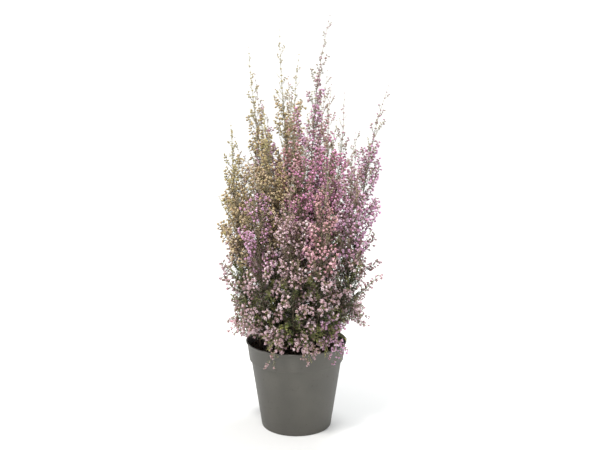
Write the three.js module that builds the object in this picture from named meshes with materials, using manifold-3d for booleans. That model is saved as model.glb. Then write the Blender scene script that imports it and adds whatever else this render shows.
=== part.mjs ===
// Potted heather (Erica sparsa): upright flower spires and low sprays, growing in a round moulded pot.
// Millimetres, +Z up, the front of the plant towards -Y, the origin at the centre of the pot's underside.

import * as THREE from 'three';
import { mergeVertices } from 'three/addons/utils/BufferGeometryUtils.js';
import Module from 'manifold-3d';

const wasm = await Module();
wasm.setup();

// Pot: an 11 cm grower's pot, a tapered body under a wider collar, with a slim lip round the rim
const RIM_RADIUS = 55;
const RIM_HEIGHT = 96;
const COLLAR_HEIGHT = 21;
const COLLAR_FOOT_RADIUS = 51.3;
const BODY_TOP_RADIUS = 49.3;
const BODY_FOOT_RADIUS = 38.3;
const WALL = 1.2;
const LIP = 0.8;
const FLOOR_TOP = 3.2;
const FOOT_RING_RADIUS = 32.5;
const CENTRE_PAD_RADIUS = 18;
const CHANNEL_HEIGHT = 2;
const CHANNEL_SLOPE = 1.5;
const POT_SIDES = 36;
const DRAIN_HOLES = 6;
const DRAIN_RADIUS = 3.5;
const DRAIN_SIDES = 6;

// Soil: peat filled to a little below the rim, with a lumpy top
const CLEARANCE = 0.3;
const SOIL_TOP = 86;
const SOIL_LUMP = 1.4;
const SOIL_SIDES = 24;
const SOIL_RINGS = [0.8, 0.55, 0.28];
const PEG_DEPTH = 12;
const HOLE_SIDES = 5;

// Stems: three-sided, thinner towards the tip
const STEM_RADIUS_FOOT = 1.5;
const STEM_RADIUS_SPLIT = 1.9;
const STEM_RADIUS_TIP = 0.6;
const STEM_SIDES = 3;

// Spires: each stands over its own foot, spreads to its waist and leans on to its tip
const FOOT_SHARE = 0.48;
const WAIST_AT = 0.34;
const LEAN_FROM = 0.35;
const LEAN_POWER = 1.6;
const SWAY = 3;
const SWAY_TURNS = [1.3, 1.1];
const SHOOTS_FROM = 0.1;
const FLOWERS_FROM = 0.4;
const AIRY_FROM = 0.78;
const WHORL_SPACING = 17.5;
const AIRY_SPACING = 15;
const WHORL_BAND = 2.2;
const WHORL_TWIST = 17;

// Outline of a spire: how far its side shoots and flowers reach out at each share of its height
const SPIRE_OUTLINE = [[0, 4], [0.1, 11], [0.25, 17], [0.45, 18], [0.6, 15], [0.78, 9], [0.88, 5], [1, 3]];
const SPRAY_OUTLINE = [[0, 3], [0.2, 7], [0.45, 12], [0.75, 12], [1, 7]];

// Side pieces of a whorl: leafy tufts, bell flowers, and leaf needles between them
const RISE = 0.75;
const RISE_RANGE = [0.8, 1.3];
const REACH_RANGE = [0.82, 1.12];
const TUFT_RADIUS = 2.7;
const BELL_RADIUS = 3.8;
const BELL_DEPTH = 3.6;
const NEEDLE_REACH = 5;
const AIRY_REACH = 3.6;
const LEAST_REACH = 2.4;
const SHRINK = 0.88;
const TUFT_BODY = 0.62;
const WIDEST_SHARE = 0.45;
const DEEPEST_SHARE = 0.4;
const KEEP_APART = 0.7;
const CLEAR_OF_POT = 0.8;
const ROUTE_SAMPLES = 90;
const FRAME_STEP = 0.002;
const RISE_DRAWS = 70;

// Colours, and how rough each surface is
const COLOURS = {
  pot: 0x83807a,
  soil: 0x2b211a,
  leaf: 0x55633a,
  lilac: 0xc396bc,
  magenta: 0xbb78a8,
  rose: 0xcb94a6,
  blush: 0xdcc0c4,
  tan: 0xb09c74,
};
const POT_ROUGHNESS = 0.6;
const SOIL_ROUGHNESS = 0.95;
const PLANT_ROUGHNESS = 0.75;

// The spires. Bearing is in degrees, 0 at the right and 90 at the back. Reach is how far the waist
// stands from the pot's axis, rise how high the tip is over the soil, and lean how far the tip is
// from the waist, towards the right and towards the back.
const SPIRES = [
  { bearing: 20, reach: 13, rise: 355, lean: [22, -6], bloom: 'lilac' },
  { bearing: 140, reach: 14, rise: 341, lean: [-4, 2], bloom: 'tan' },
  { bearing: 262, reach: 15, rise: 292, lean: [-3, -10], bloom: 'rose' },
  { bearing: 4, reach: 38, rise: 276, lean: [14, 0], bloom: 'magenta' },
  { bearing: 48, reach: 39, rise: 300, lean: [6, 8], bloom: 'rose' },
  { bearing: 94, reach: 38, rise: 318, lean: [5, 12], bloom: 'tan' },
  { bearing: 139, reach: 39, rise: 296, lean: [-12, 6], bloom: 'lilac' },
  { bearing: 184, reach: 38, rise: 322, lean: [-8, 0], bloom: 'tan' },
  { bearing: 229, reach: 39, rise: 268, lean: [-4, -8], bloom: 'tan' },
  { bearing: 276, reach: 39, rise: 256, lean: [6, -9], bloom: 'magenta' },
  { bearing: 321, reach: 38, rise: 284, lean: [8, -4], bloom: 'magenta' },
  { bearing: -6, reach: 62, rise: 283, lean: [35, -6], bloom: 'lilac' },
  { bearing: 26, reach: 63, rise: 226, lean: [12, 8], bloom: 'blush' },
  { bearing: 54, reach: 60, rise: 246, lean: [8, 12], bloom: 'tan' },
  { bearing: 86, reach: 63, rise: 232, lean: [-4, 14], bloom: 'rose' },
  { bearing: 114, reach: 60, rise: 252, lean: [-6, 12], bloom: 'lilac' },
  { bearing: 146, reach: 64, rise: 228, lean: [-14, 8], bloom: 'blush' },
  { bearing: 174, reach: 61, rise: 248, lean: [-12, 2], bloom: 'tan' },
  { bearing: 206, reach: 63, rise: 230, lean: [-8, -8], bloom: 'tan' },
  { bearing: 234, reach: 61, rise: 214, lean: [-8, -8], bloom: 'lilac' },
  { bearing: 266, reach: 60, rise: 198, lean: [-2, -8], bloom: 'blush' },
  { bearing: 294, reach: 62, rise: 212, lean: [4, -8], bloom: 'rose' },
  { bearing: 326, reach: 64, rise: 236, lean: [8, -4], bloom: 'lilac' },
];

// The low sprays. Reach is how far the tip ends from the pot's axis, level how high it ends over the
// rim, and arch how far the middle stands above a straight line from foot to tip.
const SPRAY_FOOT = 39;
const SPRAY_SPLAY = 1.5;
const SPRAY_LEAVES_FROM = 0.2;
const SPRAY_FLOWERS_FROM = 0.5;
const SPRAY_LEAFY_WHORLS = 2;
const SPRAY_FLOWER_WHORLS = 4;
const SPRAY_NUMBERS_FROM = 41;
const SPRAYS = [
  { bearing: 10, reach: 72, level: 32, arch: 20, bloom: 'blush' },
  { bearing: 40, reach: 70, level: 22, arch: 26, bloom: 'rose' },
  { bearing: 70, reach: 68, level: 36, arch: 18, bloom: 'blush' },
  { bearing: 100, reach: 66, level: 2, arch: 34, bloom: 'blush' },
  { bearing: 130, reach: 70, level: 26, arch: 24, bloom: 'lilac' },
  { bearing: 160, reach: 70, level: 34, arch: 18, bloom: 'blush' },
  { bearing: 190, reach: 67, level: 8, arch: 32, bloom: 'rose' },
  { bearing: 220, reach: 69, level: 20, arch: 24, bloom: 'blush' },
  { bearing: 249, reach: 65, level: -8, arch: 36, bloom: 'blush' },
  { bearing: 281, reach: 66, level: -3, arch: 33, bloom: 'blush' },
  { bearing: 310, reach: 65, level: -6, arch: 35, bloom: 'lilac' },
  { bearing: 341, reach: 74, level: 30, arch: 20, bloom: 'blush' },
];

// A repeatable draw from 0 to 1 for the thing numbered n, with another one for each use
function draw(n, use) {
  const wave = Math.sin(n * 12.9898 + use * 78.233) * 43758.5453;
  return wave - Math.floor(wave);
}

function drawBetween([low, high], n, use) {
  return THREE.MathUtils.lerp(low, high, draw(n, use));
}

// Straight lines between the points of an outline
function outlineAt(outline, share) {
  const next = outline.findIndex(([at]) => at >= share);
  if (next <= 0) {
    return outline[next === 0 ? 0 : outline.length - 1][1];
  }
  const [fromAt, from] = outline[next - 1];
  const [toAt, to] = outline[next];
  return THREE.MathUtils.mapLinear(share, fromAt, toAt, from, to);
}

function around(bearing, radius, height) {
  const angle = THREE.MathUtils.degToRad(bearing);
  return new THREE.Vector3(radius * Math.cos(angle), radius * Math.sin(angle), height);
}

// Booleans
function toManifold(geometry) {
  const bare = geometry.clone();
  bare.deleteAttribute('normal');
  bare.deleteAttribute('uv');
  const merged = mergeVertices(bare, 1e-4);
  const vertProperties = new Float32Array(merged.attributes.position.array);
  const triVerts = new Uint32Array(merged.index.array);
  return new wasm.Manifold(new wasm.Mesh({ numProp: 3, vertProperties, triVerts }));
}

function toGeometry(manifold) {
  const mesh = manifold.getMesh();
  const geometry = new THREE.BufferGeometry();
  geometry.setAttribute('position', new THREE.BufferAttribute(new Float32Array(mesh.vertProperties), 3));
  geometry.setIndex(new THREE.BufferAttribute(new Uint32Array(mesh.triVerts), 1));
  return geometry;
}

// An upright prism standing on z = bottom
function uprightPrism(radius, sides, bottom, top, x, y) {
  const prism = new THREE.CylinderGeometry(radius, radius, top - bottom, sides);
  prism.rotateX(Math.PI / 2);
  prism.translate(x, y, (bottom + top) / 2);
  return prism;
}

// Pot
function potProfile() {
  const ledge = RIM_HEIGHT - COLLAR_HEIGHT;
  const collarWall = COLLAR_FOOT_RADIUS - WALL;
  return [
    [0, 0],
    [CENTRE_PAD_RADIUS, 0],
    [CENTRE_PAD_RADIUS + CHANNEL_SLOPE, CHANNEL_HEIGHT],
    [FOOT_RING_RADIUS - CHANNEL_SLOPE, CHANNEL_HEIGHT],
    [FOOT_RING_RADIUS, 0],
    [BODY_FOOT_RADIUS - 1, 0],
    [BODY_FOOT_RADIUS, 1],
    [BODY_TOP_RADIUS, ledge],
    [COLLAR_FOOT_RADIUS, ledge],
    [RIM_RADIUS - LIP, RIM_HEIGHT - 3 * LIP],
    [RIM_RADIUS, RIM_HEIGHT - 2 * LIP],
    [RIM_RADIUS, RIM_HEIGHT - LIP],
    [RIM_RADIUS - LIP, RIM_HEIGHT],
    [RIM_RADIUS - LIP - WALL, RIM_HEIGHT],
    [collarWall, ledge + WALL],
    [BODY_TOP_RADIUS - WALL, ledge + WALL],
    [BODY_FOOT_RADIUS - WALL, FLOOR_TOP],
    [0, FLOOR_TOP],
  ].map(([radius, height]) => new THREE.Vector2(radius, height));
}

function turned(profile, sides) {
  const geometry = new THREE.LatheGeometry(profile, sides);
  geometry.rotateX(Math.PI / 2);
  return geometry;
}

function makePot() {
  let pot = toManifold(turned(potProfile(), POT_SIDES));
  const middle = (CENTRE_PAD_RADIUS + FOOT_RING_RADIUS) / 2;
  for (let k = 0; k < DRAIN_HOLES; k += 1) {
    const at = around((360 * k) / DRAIN_HOLES, middle, 0);
    pot = pot.subtract(toManifold(uprightPrism(DRAIN_RADIUS, DRAIN_SIDES, -1, FLOOR_TOP + 1, at.x, at.y)));
  }
  return toGeometry(pot);
}

// Soil
function soilHeight(x, y) {
  const broad = Math.sin(x * 0.21 + 1.3) * Math.cos(y * 0.17 - 0.4);
  const fine = Math.sin(x * 0.53 - y * 0.41 + 2.1);
  return SOIL_TOP + SOIL_LUMP * (0.6 * broad + 0.4 * fine);
}

function soilProfile() {
  const ledge = RIM_HEIGHT - COLLAR_HEIGHT + WALL + CLEARANCE;
  const collarFoot = COLLAR_FOOT_RADIUS - WALL - CLEARANCE;
  const collarSlope = (RIM_RADIUS - LIP - COLLAR_FOOT_RADIUS) / COLLAR_HEIGHT;
  const edge = collarFoot + collarSlope * (SOIL_TOP - ledge);
  const sides = [
    [0, FLOOR_TOP + CLEARANCE],
    [BODY_FOOT_RADIUS - WALL - CLEARANCE, FLOOR_TOP + CLEARANCE],
    [BODY_TOP_RADIUS - WALL - CLEARANCE, ledge],
    [collarFoot, ledge],
    [edge, SOIL_TOP],
  ];
  const top = SOIL_RINGS.map((share) => [edge * share, SOIL_TOP]);
  return [...sides, ...top, [0, SOIL_TOP]].map(([radius, height]) => new THREE.Vector2(radius, height));
}

function makeSoil(feet) {
  const body = turned(soilProfile(), SOIL_SIDES);
  const position = body.attributes.position;
  for (let k = 0; k < position.count; k += 1) {
    if (position.getZ(k) > SOIL_TOP - 0.01) {
      position.setZ(k, soilHeight(position.getX(k), position.getY(k)));
    }
  }
  let soil = toManifold(body);
  const radius = (STEM_RADIUS_FOOT + CLEARANCE) / Math.cos(Math.PI / HOLE_SIDES);
  const bottom = SOIL_TOP - PEG_DEPTH - CLEARANCE;
  for (const foot of feet) {
    const hole = uprightPrism(radius, HOLE_SIDES, bottom, SOIL_TOP + 5, foot.x, foot.y);
    soil = soil.subtract(toManifold(hole));
  }
  return toGeometry(soil);
}

// Routes of the stems, each a function of the share of the stem's height or length
function spireRoute(spire, number) {
  const foot = around(spire.bearing, spire.reach * FOOT_SHARE, SOIL_TOP);
  const waist = around(spire.bearing, spire.reach, SOIL_TOP);
  const [right, back] = spire.lean;
  return (share) => {
    const spread = THREE.MathUtils.smoothstep(share, 0, WAIST_AT);
    const lean = Math.max(0, (share - LEAN_FROM) / (1 - LEAN_FROM)) ** LEAN_POWER;
    const swayX = SWAY * share * Math.sin(2 * Math.PI * (SWAY_TURNS[0] * share + draw(number, 1)));
    const swayY = SWAY * share * Math.sin(2 * Math.PI * (SWAY_TURNS[1] * share + draw(number, 2)));
    return new THREE.Vector3(
      foot.x + (waist.x - foot.x) * spread + right * lean + swayX,
      foot.y + (waist.y - foot.y) * spread + back * lean + swayY,
      SOIL_TOP + spire.rise * share,
    );
  };
}

function sprayRoute(spray) {
  const end = RIM_HEIGHT + spray.level;
  return (share) => {
    const radius = SPRAY_FOOT + (spray.reach - SPRAY_FOOT) * share ** SPRAY_SPLAY;
    const height = SOIL_TOP + (end - SOIL_TOP) * share + 4 * spray.arch * share * (1 - share);
    return around(spray.bearing, radius, height);
  };
}

// The stem's place and its three directions at a share of a route
function frameAt(stem, share) {
  const centre = stem.route(share);
  const before = stem.route(Math.max(share - FRAME_STEP, 0));
  const along = stem.route(Math.min(share + FRAME_STEP, 1)).sub(before).normalize();
  const side = around(stem.bearing - 90, 1, 0);
  side.addScaledVector(along, -side.dot(along)).normalize();
  const out = new THREE.Vector3().crossVectors(along, side);
  return { centre, along, side, out };
}

function sampleRoute(route) {
  return Array.from({ length: ROUTE_SAMPLES + 1 }, (_, k) => route(k / ROUTE_SAMPLES));
}

function distanceToSamples(point, samples) {
  return Math.sqrt(Math.min(...samples.map((sample) => sample.distanceToSquared(point))));
}

// Distance from a point to a ring of rectangular section round the pot's axis
function distanceToRing(point, inner, outer, top) {
  const radius = Math.hypot(point.x, point.y);
  const aside = Math.max(inner - radius, radius - outer, 0);
  const above = Math.max(point.z - top, 0);
  return Math.hypot(aside, above);
}

// True where a ball round the point stays on its own stem's side of every other stem, and off the pot
function hasRoom(point, ball, own, stems) {
  const wall = distanceToRing(point, BODY_TOP_RADIUS, RIM_RADIUS, RIM_HEIGHT);
  const soil = distanceToRing(point, 0, BODY_TOP_RADIUS, SOIL_TOP + SOIL_LUMP);
  if (Math.min(wall, soil) < ball + CLEAR_OF_POT) {
    return false;
  }
  const ownDistance = distanceToSamples(point, own.samples);
  return stems.every((other) => other === own
    || distanceToSamples(point, other.samples) - ownDistance > 2 * ball + KEEP_APART);
}

// True where an edge of one triangle passes through the other. Edges that end on it don't count.
function pierces(points, edged, pierced) {
  const [a, b, c] = pierced.map((index) => points[index]);
  return edged.some((from, k) => {
    const to = edged[(k + 1) % 3];
    if (pierced.includes(from) || pierced.includes(to)) {
      return false;
    }
    const way = points[to].clone().sub(points[from]);
    const length = way.length();
    const ray = new THREE.Ray(points[from], way.divideScalar(length));
    const hit = ray.intersectTriangle(a, b, c, false, new THREE.Vector3());
    return hit !== null && hit.distanceTo(points[from]) < length;
  });
}

function boxOf(points, triangles) {
  return new THREE.Box3().setFromPoints(triangles.flat().map((index) => points[index]));
}

// True where any of the new triangles and any of the others pass through each other
function anyCross(points, fresh, others) {
  const box = boxOf(points, fresh);
  const near = others.filter((other) => boxOf(points, [other]).intersectsBox(box));
  const cross = (one, other) => pierces(points, one, other) || pierces(points, other, one);
  return fresh.some((one) => near.some((other) => cross(one, other)));
}

// Triangles between two loops of three corners, and from one loop to an apex
function wallBetween(from, to) {
  return from.flatMap((corner, k) => {
    const next = (k + 1) % from.length;
    return [[corner, from[next], to[next]], [corner, to[next], to[k]]];
  });
}

function fan(loop, apex) {
  return loop.map((corner, k) => [corner, loop[(k + 1) % loop.length], apex]);
}

// A closed stem with side pieces, built ring by ring. A whorl is a short band whose six faces are
// drawn out into side pieces, so each one grows out of the stem as part of the same solid.
class Sprig {
  constructor(stem, stems, radiusAt) {
    this.stem = stem;
    this.stems = stems;
    this.radiusAt = radiusAt;
    this.points = [];
    this.triangles = [];
    this.shoots = [];
    this.turn = 360 * draw(stem.number, 3);
    this.last = null;
  }

  add(point) {
    return this.points.push(point) - 1;
  }

  ring(centre, frame, radius) {
    return Array.from({ length: STEM_SIDES }, (_, k) => {
      const angle = THREE.MathUtils.degToRad(this.turn + (360 * k) / STEM_SIDES);
      const point = centre.clone();
      point.addScaledVector(frame.side, radius * Math.cos(angle));
      point.addScaledVector(frame.out, radius * Math.sin(angle));
      return this.add(point);
    });
  }

  // Plain stretch of stem from the last ring to a new one
  extend(centre, frame, radius) {
    const ring = this.ring(centre, frame, radius);
    if (this.last) {
      this.triangles.push(...wallBetween(this.last, ring));
    } else {
      this.triangles.push([ring[2], ring[1], ring[0]]);
    }
    this.last = ring;
  }

  // Peg that stands in the soil
  plant() {
    const frame = frameAt(this.stem, 0);
    const down = frame.centre.clone();
    down.z -= PEG_DEPTH;
    this.extend(down, frame, STEM_RADIUS_FOOT);
    this.extend(frame.centre, frame, STEM_RADIUS_FOOT);
  }

  begin(share) {
    const frame = frameAt(this.stem, share);
    this.extend(frame.centre, frame, this.radiusAt(share));
  }

  // Six faces between two rings a sixth of a turn apart
  whorl(share, main, between) {
    const frame = frameAt(this.stem, share);
    const radius = this.radiusAt(share);
    this.turn += WHORL_TWIST;
    this.extend(frame.centre, frame, radius);
    const low = this.last;
    this.turn += 180 / STEM_SIDES;
    const top = frame.centre.clone().addScaledVector(frame.along, WHORL_BAND);
    const high = this.ring(top, frame, radius);
    low.forEach((corner, k) => {
      const next = (k + 1) % STEM_SIDES;
      this.shoots.push({ face: [corner, low[next], high[k]], frame, form: main });
      this.shoots.push({ face: [high[k], low[next], high[next]], frame, form: between });
    });
    this.last = high;
  }

  // Closes the stem at its tip, then draws out the side pieces, the widest kinds first
  finish(share) {
    this.begin(share);
    this.triangles.push([...this.last]);
    this.shoots.sort((one, other) => other.form.radius - one.form.radius);
    while (this.shoots.length > 0) {
      this.grow(this.shoots.shift(), this.shoots.length);
    }
  }

  // One face drawn out as far as there is room for it. A face with no room stays plain.
  grow({ face, frame, form }, use) {
    const root = new THREE.Vector3();
    face.forEach((index) => root.addScaledVector(this.points[index], 1 / face.length));
    const away = root.clone().sub(frame.centre);
    away.addScaledVector(frame.along, -away.dot(frame.along)).normalize();
    const rise = RISE * drawBetween(RISE_RANGE, this.stem.number, use + RISE_DRAWS);
    const others = [...this.triangles, ...this.shoots.map((shoot) => shoot.face)];
    let reach = form.reach * drawBetween(REACH_RANGE, this.stem.number, use);
    while (reach > LEAST_REACH) {
      const tip = root.clone().addScaledVector(away, reach).addScaledVector(frame.along, reach * rise);
      if (hasRoom(tip, form.radius, this.stem, this.stems)) {
        const known = this.points.length;
        const piece = this.drawnOut(face, root, tip, form);
        if (!anyCross(this.points, piece, others)) {
          this.triangles.push(...piece);
          return;
        }
        this.points.length = known;
      }
      reach *= SHRINK;
    }
    this.triangles.push(face);
  }

  // Triangles from a face through a ring to an apex, which lies behind the ring in a bell's mouth
  drawnOut(face, root, tip, form) {
    if (form.radius === 0) {
      return fan(face, this.add(tip));
    }
    const axis = tip.clone().sub(root).normalize();
    const length = tip.distanceTo(root);
    const radius = Math.min(form.radius, WIDEST_SHARE * length);
    const centre = root.clone().addScaledVector(axis, length * form.body);
    const ring = face.map((index) => {
      const spoke = this.points[index].clone().sub(root);
      spoke.addScaledVector(axis, -spoke.dot(axis)).setLength(radius);
      return this.add(spoke.add(centre));
    });
    const depth = Math.min(form.depth, DEEPEST_SHARE * length);
    const apex = form.depth > 0 ? centre.clone().addScaledVector(axis, -depth) : tip;
    return [...wallBetween(face, ring), ...fan(ring, this.add(apex))];
  }

  geometry() {
    const geometry = new THREE.BufferGeometry();
    const flat = this.points.flatMap((point) => point.toArray());
    geometry.setAttribute('position', new THREE.Float32BufferAttribute(flat, 3));
    geometry.setIndex(this.triangles.flat());
    return geometry;
  }
}

// The kinds of side piece, at the reach of the outline where they grow
const tuft = (reach) => ({ reach, radius: TUFT_RADIUS, body: TUFT_BODY, depth: 0 });
const bell = (reach) => ({ reach, radius: BELL_RADIUS, body: 1, depth: BELL_DEPTH });
const needle = (reach) => ({ reach: Math.min(reach, NEEDLE_REACH), radius: 0 });
const bud = () => ({ reach: AIRY_REACH, radius: 0 });
const bare = () => ({ reach: 0, radius: 0 });

// Whorls spread evenly over a stretch of a stem
function whorls(sprig, outline, from, to, count, main, between) {
  for (let k = 0; k < count; k += 1) {
    const share = THREE.MathUtils.lerp(from, to, (k + 0.5) / count);
    const reach = outlineAt(outline, share);
    sprig.whorl(share, main(reach), between(reach));
  }
}

function stemRadius(share) {
  const upper = THREE.MathUtils.mapLinear(share, FLOWERS_FROM, 1, STEM_RADIUS_SPLIT, STEM_RADIUS_TIP);
  const lower = THREE.MathUtils.mapLinear(share, 0, FLOWERS_FROM, STEM_RADIUS_FOOT, STEM_RADIUS_SPLIT);
  return share < FLOWERS_FROM ? lower : upper;
}

// Lower part of a spire: its stem out of the soil, with leafy tufts
function makeShoot(stem, stems) {
  const sprig = new Sprig(stem, stems, stemRadius);
  const count = Math.round((stem.rise * (FLOWERS_FROM - SHOOTS_FROM)) / WHORL_SPACING);
  sprig.plant();
  whorls(sprig, SPIRE_OUTLINE, SHOOTS_FROM, FLOWERS_FROM, count, tuft, needle);
  sprig.finish(FLOWERS_FROM);
  return sprig.geometry();
}

// Upper part of a spire: the flower spike, with an airy tip of small buds
function makeSpike(stem, stems) {
  const sprig = new Sprig(stem, stems, stemRadius);
  const from = FLOWERS_FROM + CLEARANCE / stem.rise;
  const flowers = Math.round((stem.rise * (AIRY_FROM - from)) / WHORL_SPACING);
  const buds = Math.round((stem.rise * (1 - AIRY_FROM)) / AIRY_SPACING);
  sprig.begin(from);
  whorls(sprig, SPIRE_OUTLINE, from, AIRY_FROM, flowers, bell, needle);
  whorls(sprig, SPIRE_OUTLINE, AIRY_FROM, 1, buds, bud, bare);
  sprig.finish(1);
  return sprig.geometry();
}

// Low spray: leafy at its foot, with bells over its outer half
function makeSpray(stem, stems) {
  const sprig = new Sprig(stem, stems, stemRadius);
  sprig.plant();
  whorls(sprig, SPRAY_OUTLINE, SPRAY_LEAVES_FROM, SPRAY_FLOWERS_FROM, SPRAY_LEAFY_WHORLS, tuft, needle);
  whorls(sprig, SPRAY_OUTLINE, SPRAY_FLOWERS_FROM, 1, SPRAY_FLOWER_WHORLS, bell, needle);
  sprig.finish(1);
  return sprig.geometry();
}

// Assembly
function material(colour, roughness) {
  return new THREE.MeshStandardMaterial({ color: colour, roughness, metalness: 0 });
}

function addPiece(group, name, geometry, colour, roughness) {
  const mesh = new THREE.Mesh(geometry, material(colour, roughness));
  mesh.name = name;
  group.add(mesh);
}

const spires = SPIRES.map((spire, k) => ({ ...spire, number: k + 1, route: spireRoute(spire, k + 1) }));
const sprays = SPRAYS.map((spray, k) => (
  { ...spray, number: k + SPRAY_NUMBERS_FROM, route: sprayRoute(spray) }
));
const stems = [...spires, ...sprays];
stems.forEach((stem) => {
  stem.samples = sampleRoute(stem.route);
});

const plant = new THREE.Group();
plant.name = 'potted_heather';
addPiece(plant, 'pot', makePot(), COLOURS.pot, POT_ROUGHNESS);
addPiece(plant, 'soil', makeSoil(stems.map((stem) => stem.route(0))), COLOURS.soil, SOIL_ROUGHNESS);
spires.forEach((stem, k) => {
  const number = String(k + 1).padStart(2, '0');
  addPiece(plant, `leafy_shoot_${number}`, makeShoot(stem, stems), COLOURS.leaf, PLANT_ROUGHNESS);
  addPiece(plant, `flower_spike_${number}`, makeSpike(stem, stems), COLOURS[stem.bloom], PLANT_ROUGHNESS);
});
sprays.forEach((stem, k) => {
  const number = String(k + 1).padStart(2, '0');
  addPiece(plant, `low_spray_${number}`, makeSpray(stem, stems), COLOURS[stem.bloom], PLANT_ROUGHNESS);
});

export default plant;
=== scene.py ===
import logging
import math
from dataclasses import dataclass, field
from enum import Enum
from typing import Callable, Sequence

import bpy
import numpy as np
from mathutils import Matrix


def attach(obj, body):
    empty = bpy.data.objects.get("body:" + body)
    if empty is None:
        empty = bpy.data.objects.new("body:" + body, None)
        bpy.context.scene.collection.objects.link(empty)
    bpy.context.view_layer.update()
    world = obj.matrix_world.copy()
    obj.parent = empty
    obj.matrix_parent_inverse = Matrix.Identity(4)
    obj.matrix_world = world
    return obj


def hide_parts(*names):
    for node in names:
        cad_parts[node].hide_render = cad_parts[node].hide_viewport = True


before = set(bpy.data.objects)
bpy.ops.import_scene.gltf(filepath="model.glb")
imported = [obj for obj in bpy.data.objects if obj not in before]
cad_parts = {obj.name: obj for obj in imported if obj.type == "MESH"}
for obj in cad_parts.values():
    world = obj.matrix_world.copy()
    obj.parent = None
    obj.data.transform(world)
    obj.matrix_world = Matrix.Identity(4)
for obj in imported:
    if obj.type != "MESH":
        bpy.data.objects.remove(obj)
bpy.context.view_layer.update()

# Sizes are in millimetres unless a name says otherwise. A mesh gets its points in metres.
MM = 0.001
CHART = "OFBake"

log = logging.getLogger("potted_heather")

Colour = tuple[float, float, float]
Range = tuple[float, float]
Curve = Sequence[Range]

# The pot's mouth and the peat in it, which the stems grow from and round
RIM_RADIUS = 55.0
RIM_HEIGHT = 96.0
NECK_RADIUS = 49.3
SOIL_TOP = 86.0

# Steps along a steep sine wave for each number and each use, and the wave's height
NUMBER_STEP = 12.9898
USE_STEP = 78.233
WAVE_HEIGHT = 43758.5453

# Turns in radians: from one shoot or bell to the next, and the limits of a turn drawn at random
GOLDEN_TURN = 2.4
ANY_TURN = (0.0, 6.3)

# Uses of a repeatable draw: the first of a spire's two sways, a stem's first side shoot, and its tufts
SWAY_USE = 1
TURN_USE = 3
TUFT_USE = 4


def tint(red: float, green: float, blue: float) -> Colour:
    """A colour as seen on a screen, 0 to 255 for each part, as the linear numbers that shaders use."""
    seen = np.array((red, green, blue)) / 255
    return tuple(np.where(seen < 0.04045, seen / 12.92, ((seen + 0.055) / 1.055) ** 2.4).tolist())


def draw(number: float, use: float) -> float:
    """A repeatable draw from 0 to 1 for one thing and one use: the far decimals of a steep sine wave."""
    return (math.sin(number * NUMBER_STEP + use * USE_STEP) * WAVE_HEIGHT) % 1.0


def smooth(share: np.ndarray) -> np.ndarray:
    """The S-curve 3 s^2 - 2 s^3 over 0 to 1, level at both ends."""
    s = np.clip(share, 0, 1)
    return s * s * (3 - 2 * s)


def unit(vectors: np.ndarray) -> np.ndarray:
    """The vectors along the last axis, each divided by its own length."""
    return vectors / np.linalg.norm(vectors, axis=-1, keepdims=True)


def around(bearing: np.ndarray | float, radius: np.ndarray | float, height: np.ndarray | float) -> np.ndarray:
    """Points at a bearing in degrees (0 right, 90 back), a distance from the pot's axis and a height."""
    angle = np.radians(bearing)
    return np.stack(np.broadcast_arrays(radius * np.cos(angle), radius * np.sin(angle), height), -1)


def full_turn(sides: int) -> np.ndarray:
    """Angles in radians that divide a full turn evenly: 2 pi k / sides."""
    return 2 * np.pi * np.arange(sides) / sides


# Materials

class Signal:
    """An output of a material's node tree. Sums on it add Math nodes."""

    def __init__(self, sheet: "Sheet", socket: bpy.types.NodeSocket) -> None:
        """Keeps the sheet it is drawn on and its socket."""
        self.sheet = sheet
        self.socket = socket

    def _maths(self, operation: str, first: object, second: object = 0.0) -> "Signal":
        """A Math node on two values, either of which may be a number."""
        return self.sheet.node("ShaderNodeMath", {"operation": operation}, {0: first, 1: second})

    def __add__(self, other: object) -> "Signal":
        """This plus other."""
        return self._maths("ADD", self, other)

    def __radd__(self, other: object) -> "Signal":
        """Other plus this."""
        return self._maths("ADD", other, self)

    def __sub__(self, other: object) -> "Signal":
        """This less other."""
        return self._maths("SUBTRACT", self, other)

    def __rsub__(self, other: object) -> "Signal":
        """Other less this."""
        return self._maths("SUBTRACT", other, self)

    def __mul__(self, other: object) -> "Signal":
        """This times other."""
        return self._maths("MULTIPLY", self, other)

    def __rmul__(self, other: object) -> "Signal":
        """Other times this."""
        return self._maths("MULTIPLY", other, self)

    def step(self, low: float, high: float) -> "Signal":
        """0 below low and 1 above high, with an S-curve between them."""
        sockets = {"Value": self, "From Min": low, "From Max": high}
        return self.sheet.node("ShaderNodeMapRange", {"interpolation_type": "SMOOTHSTEP"}, sockets)


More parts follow.
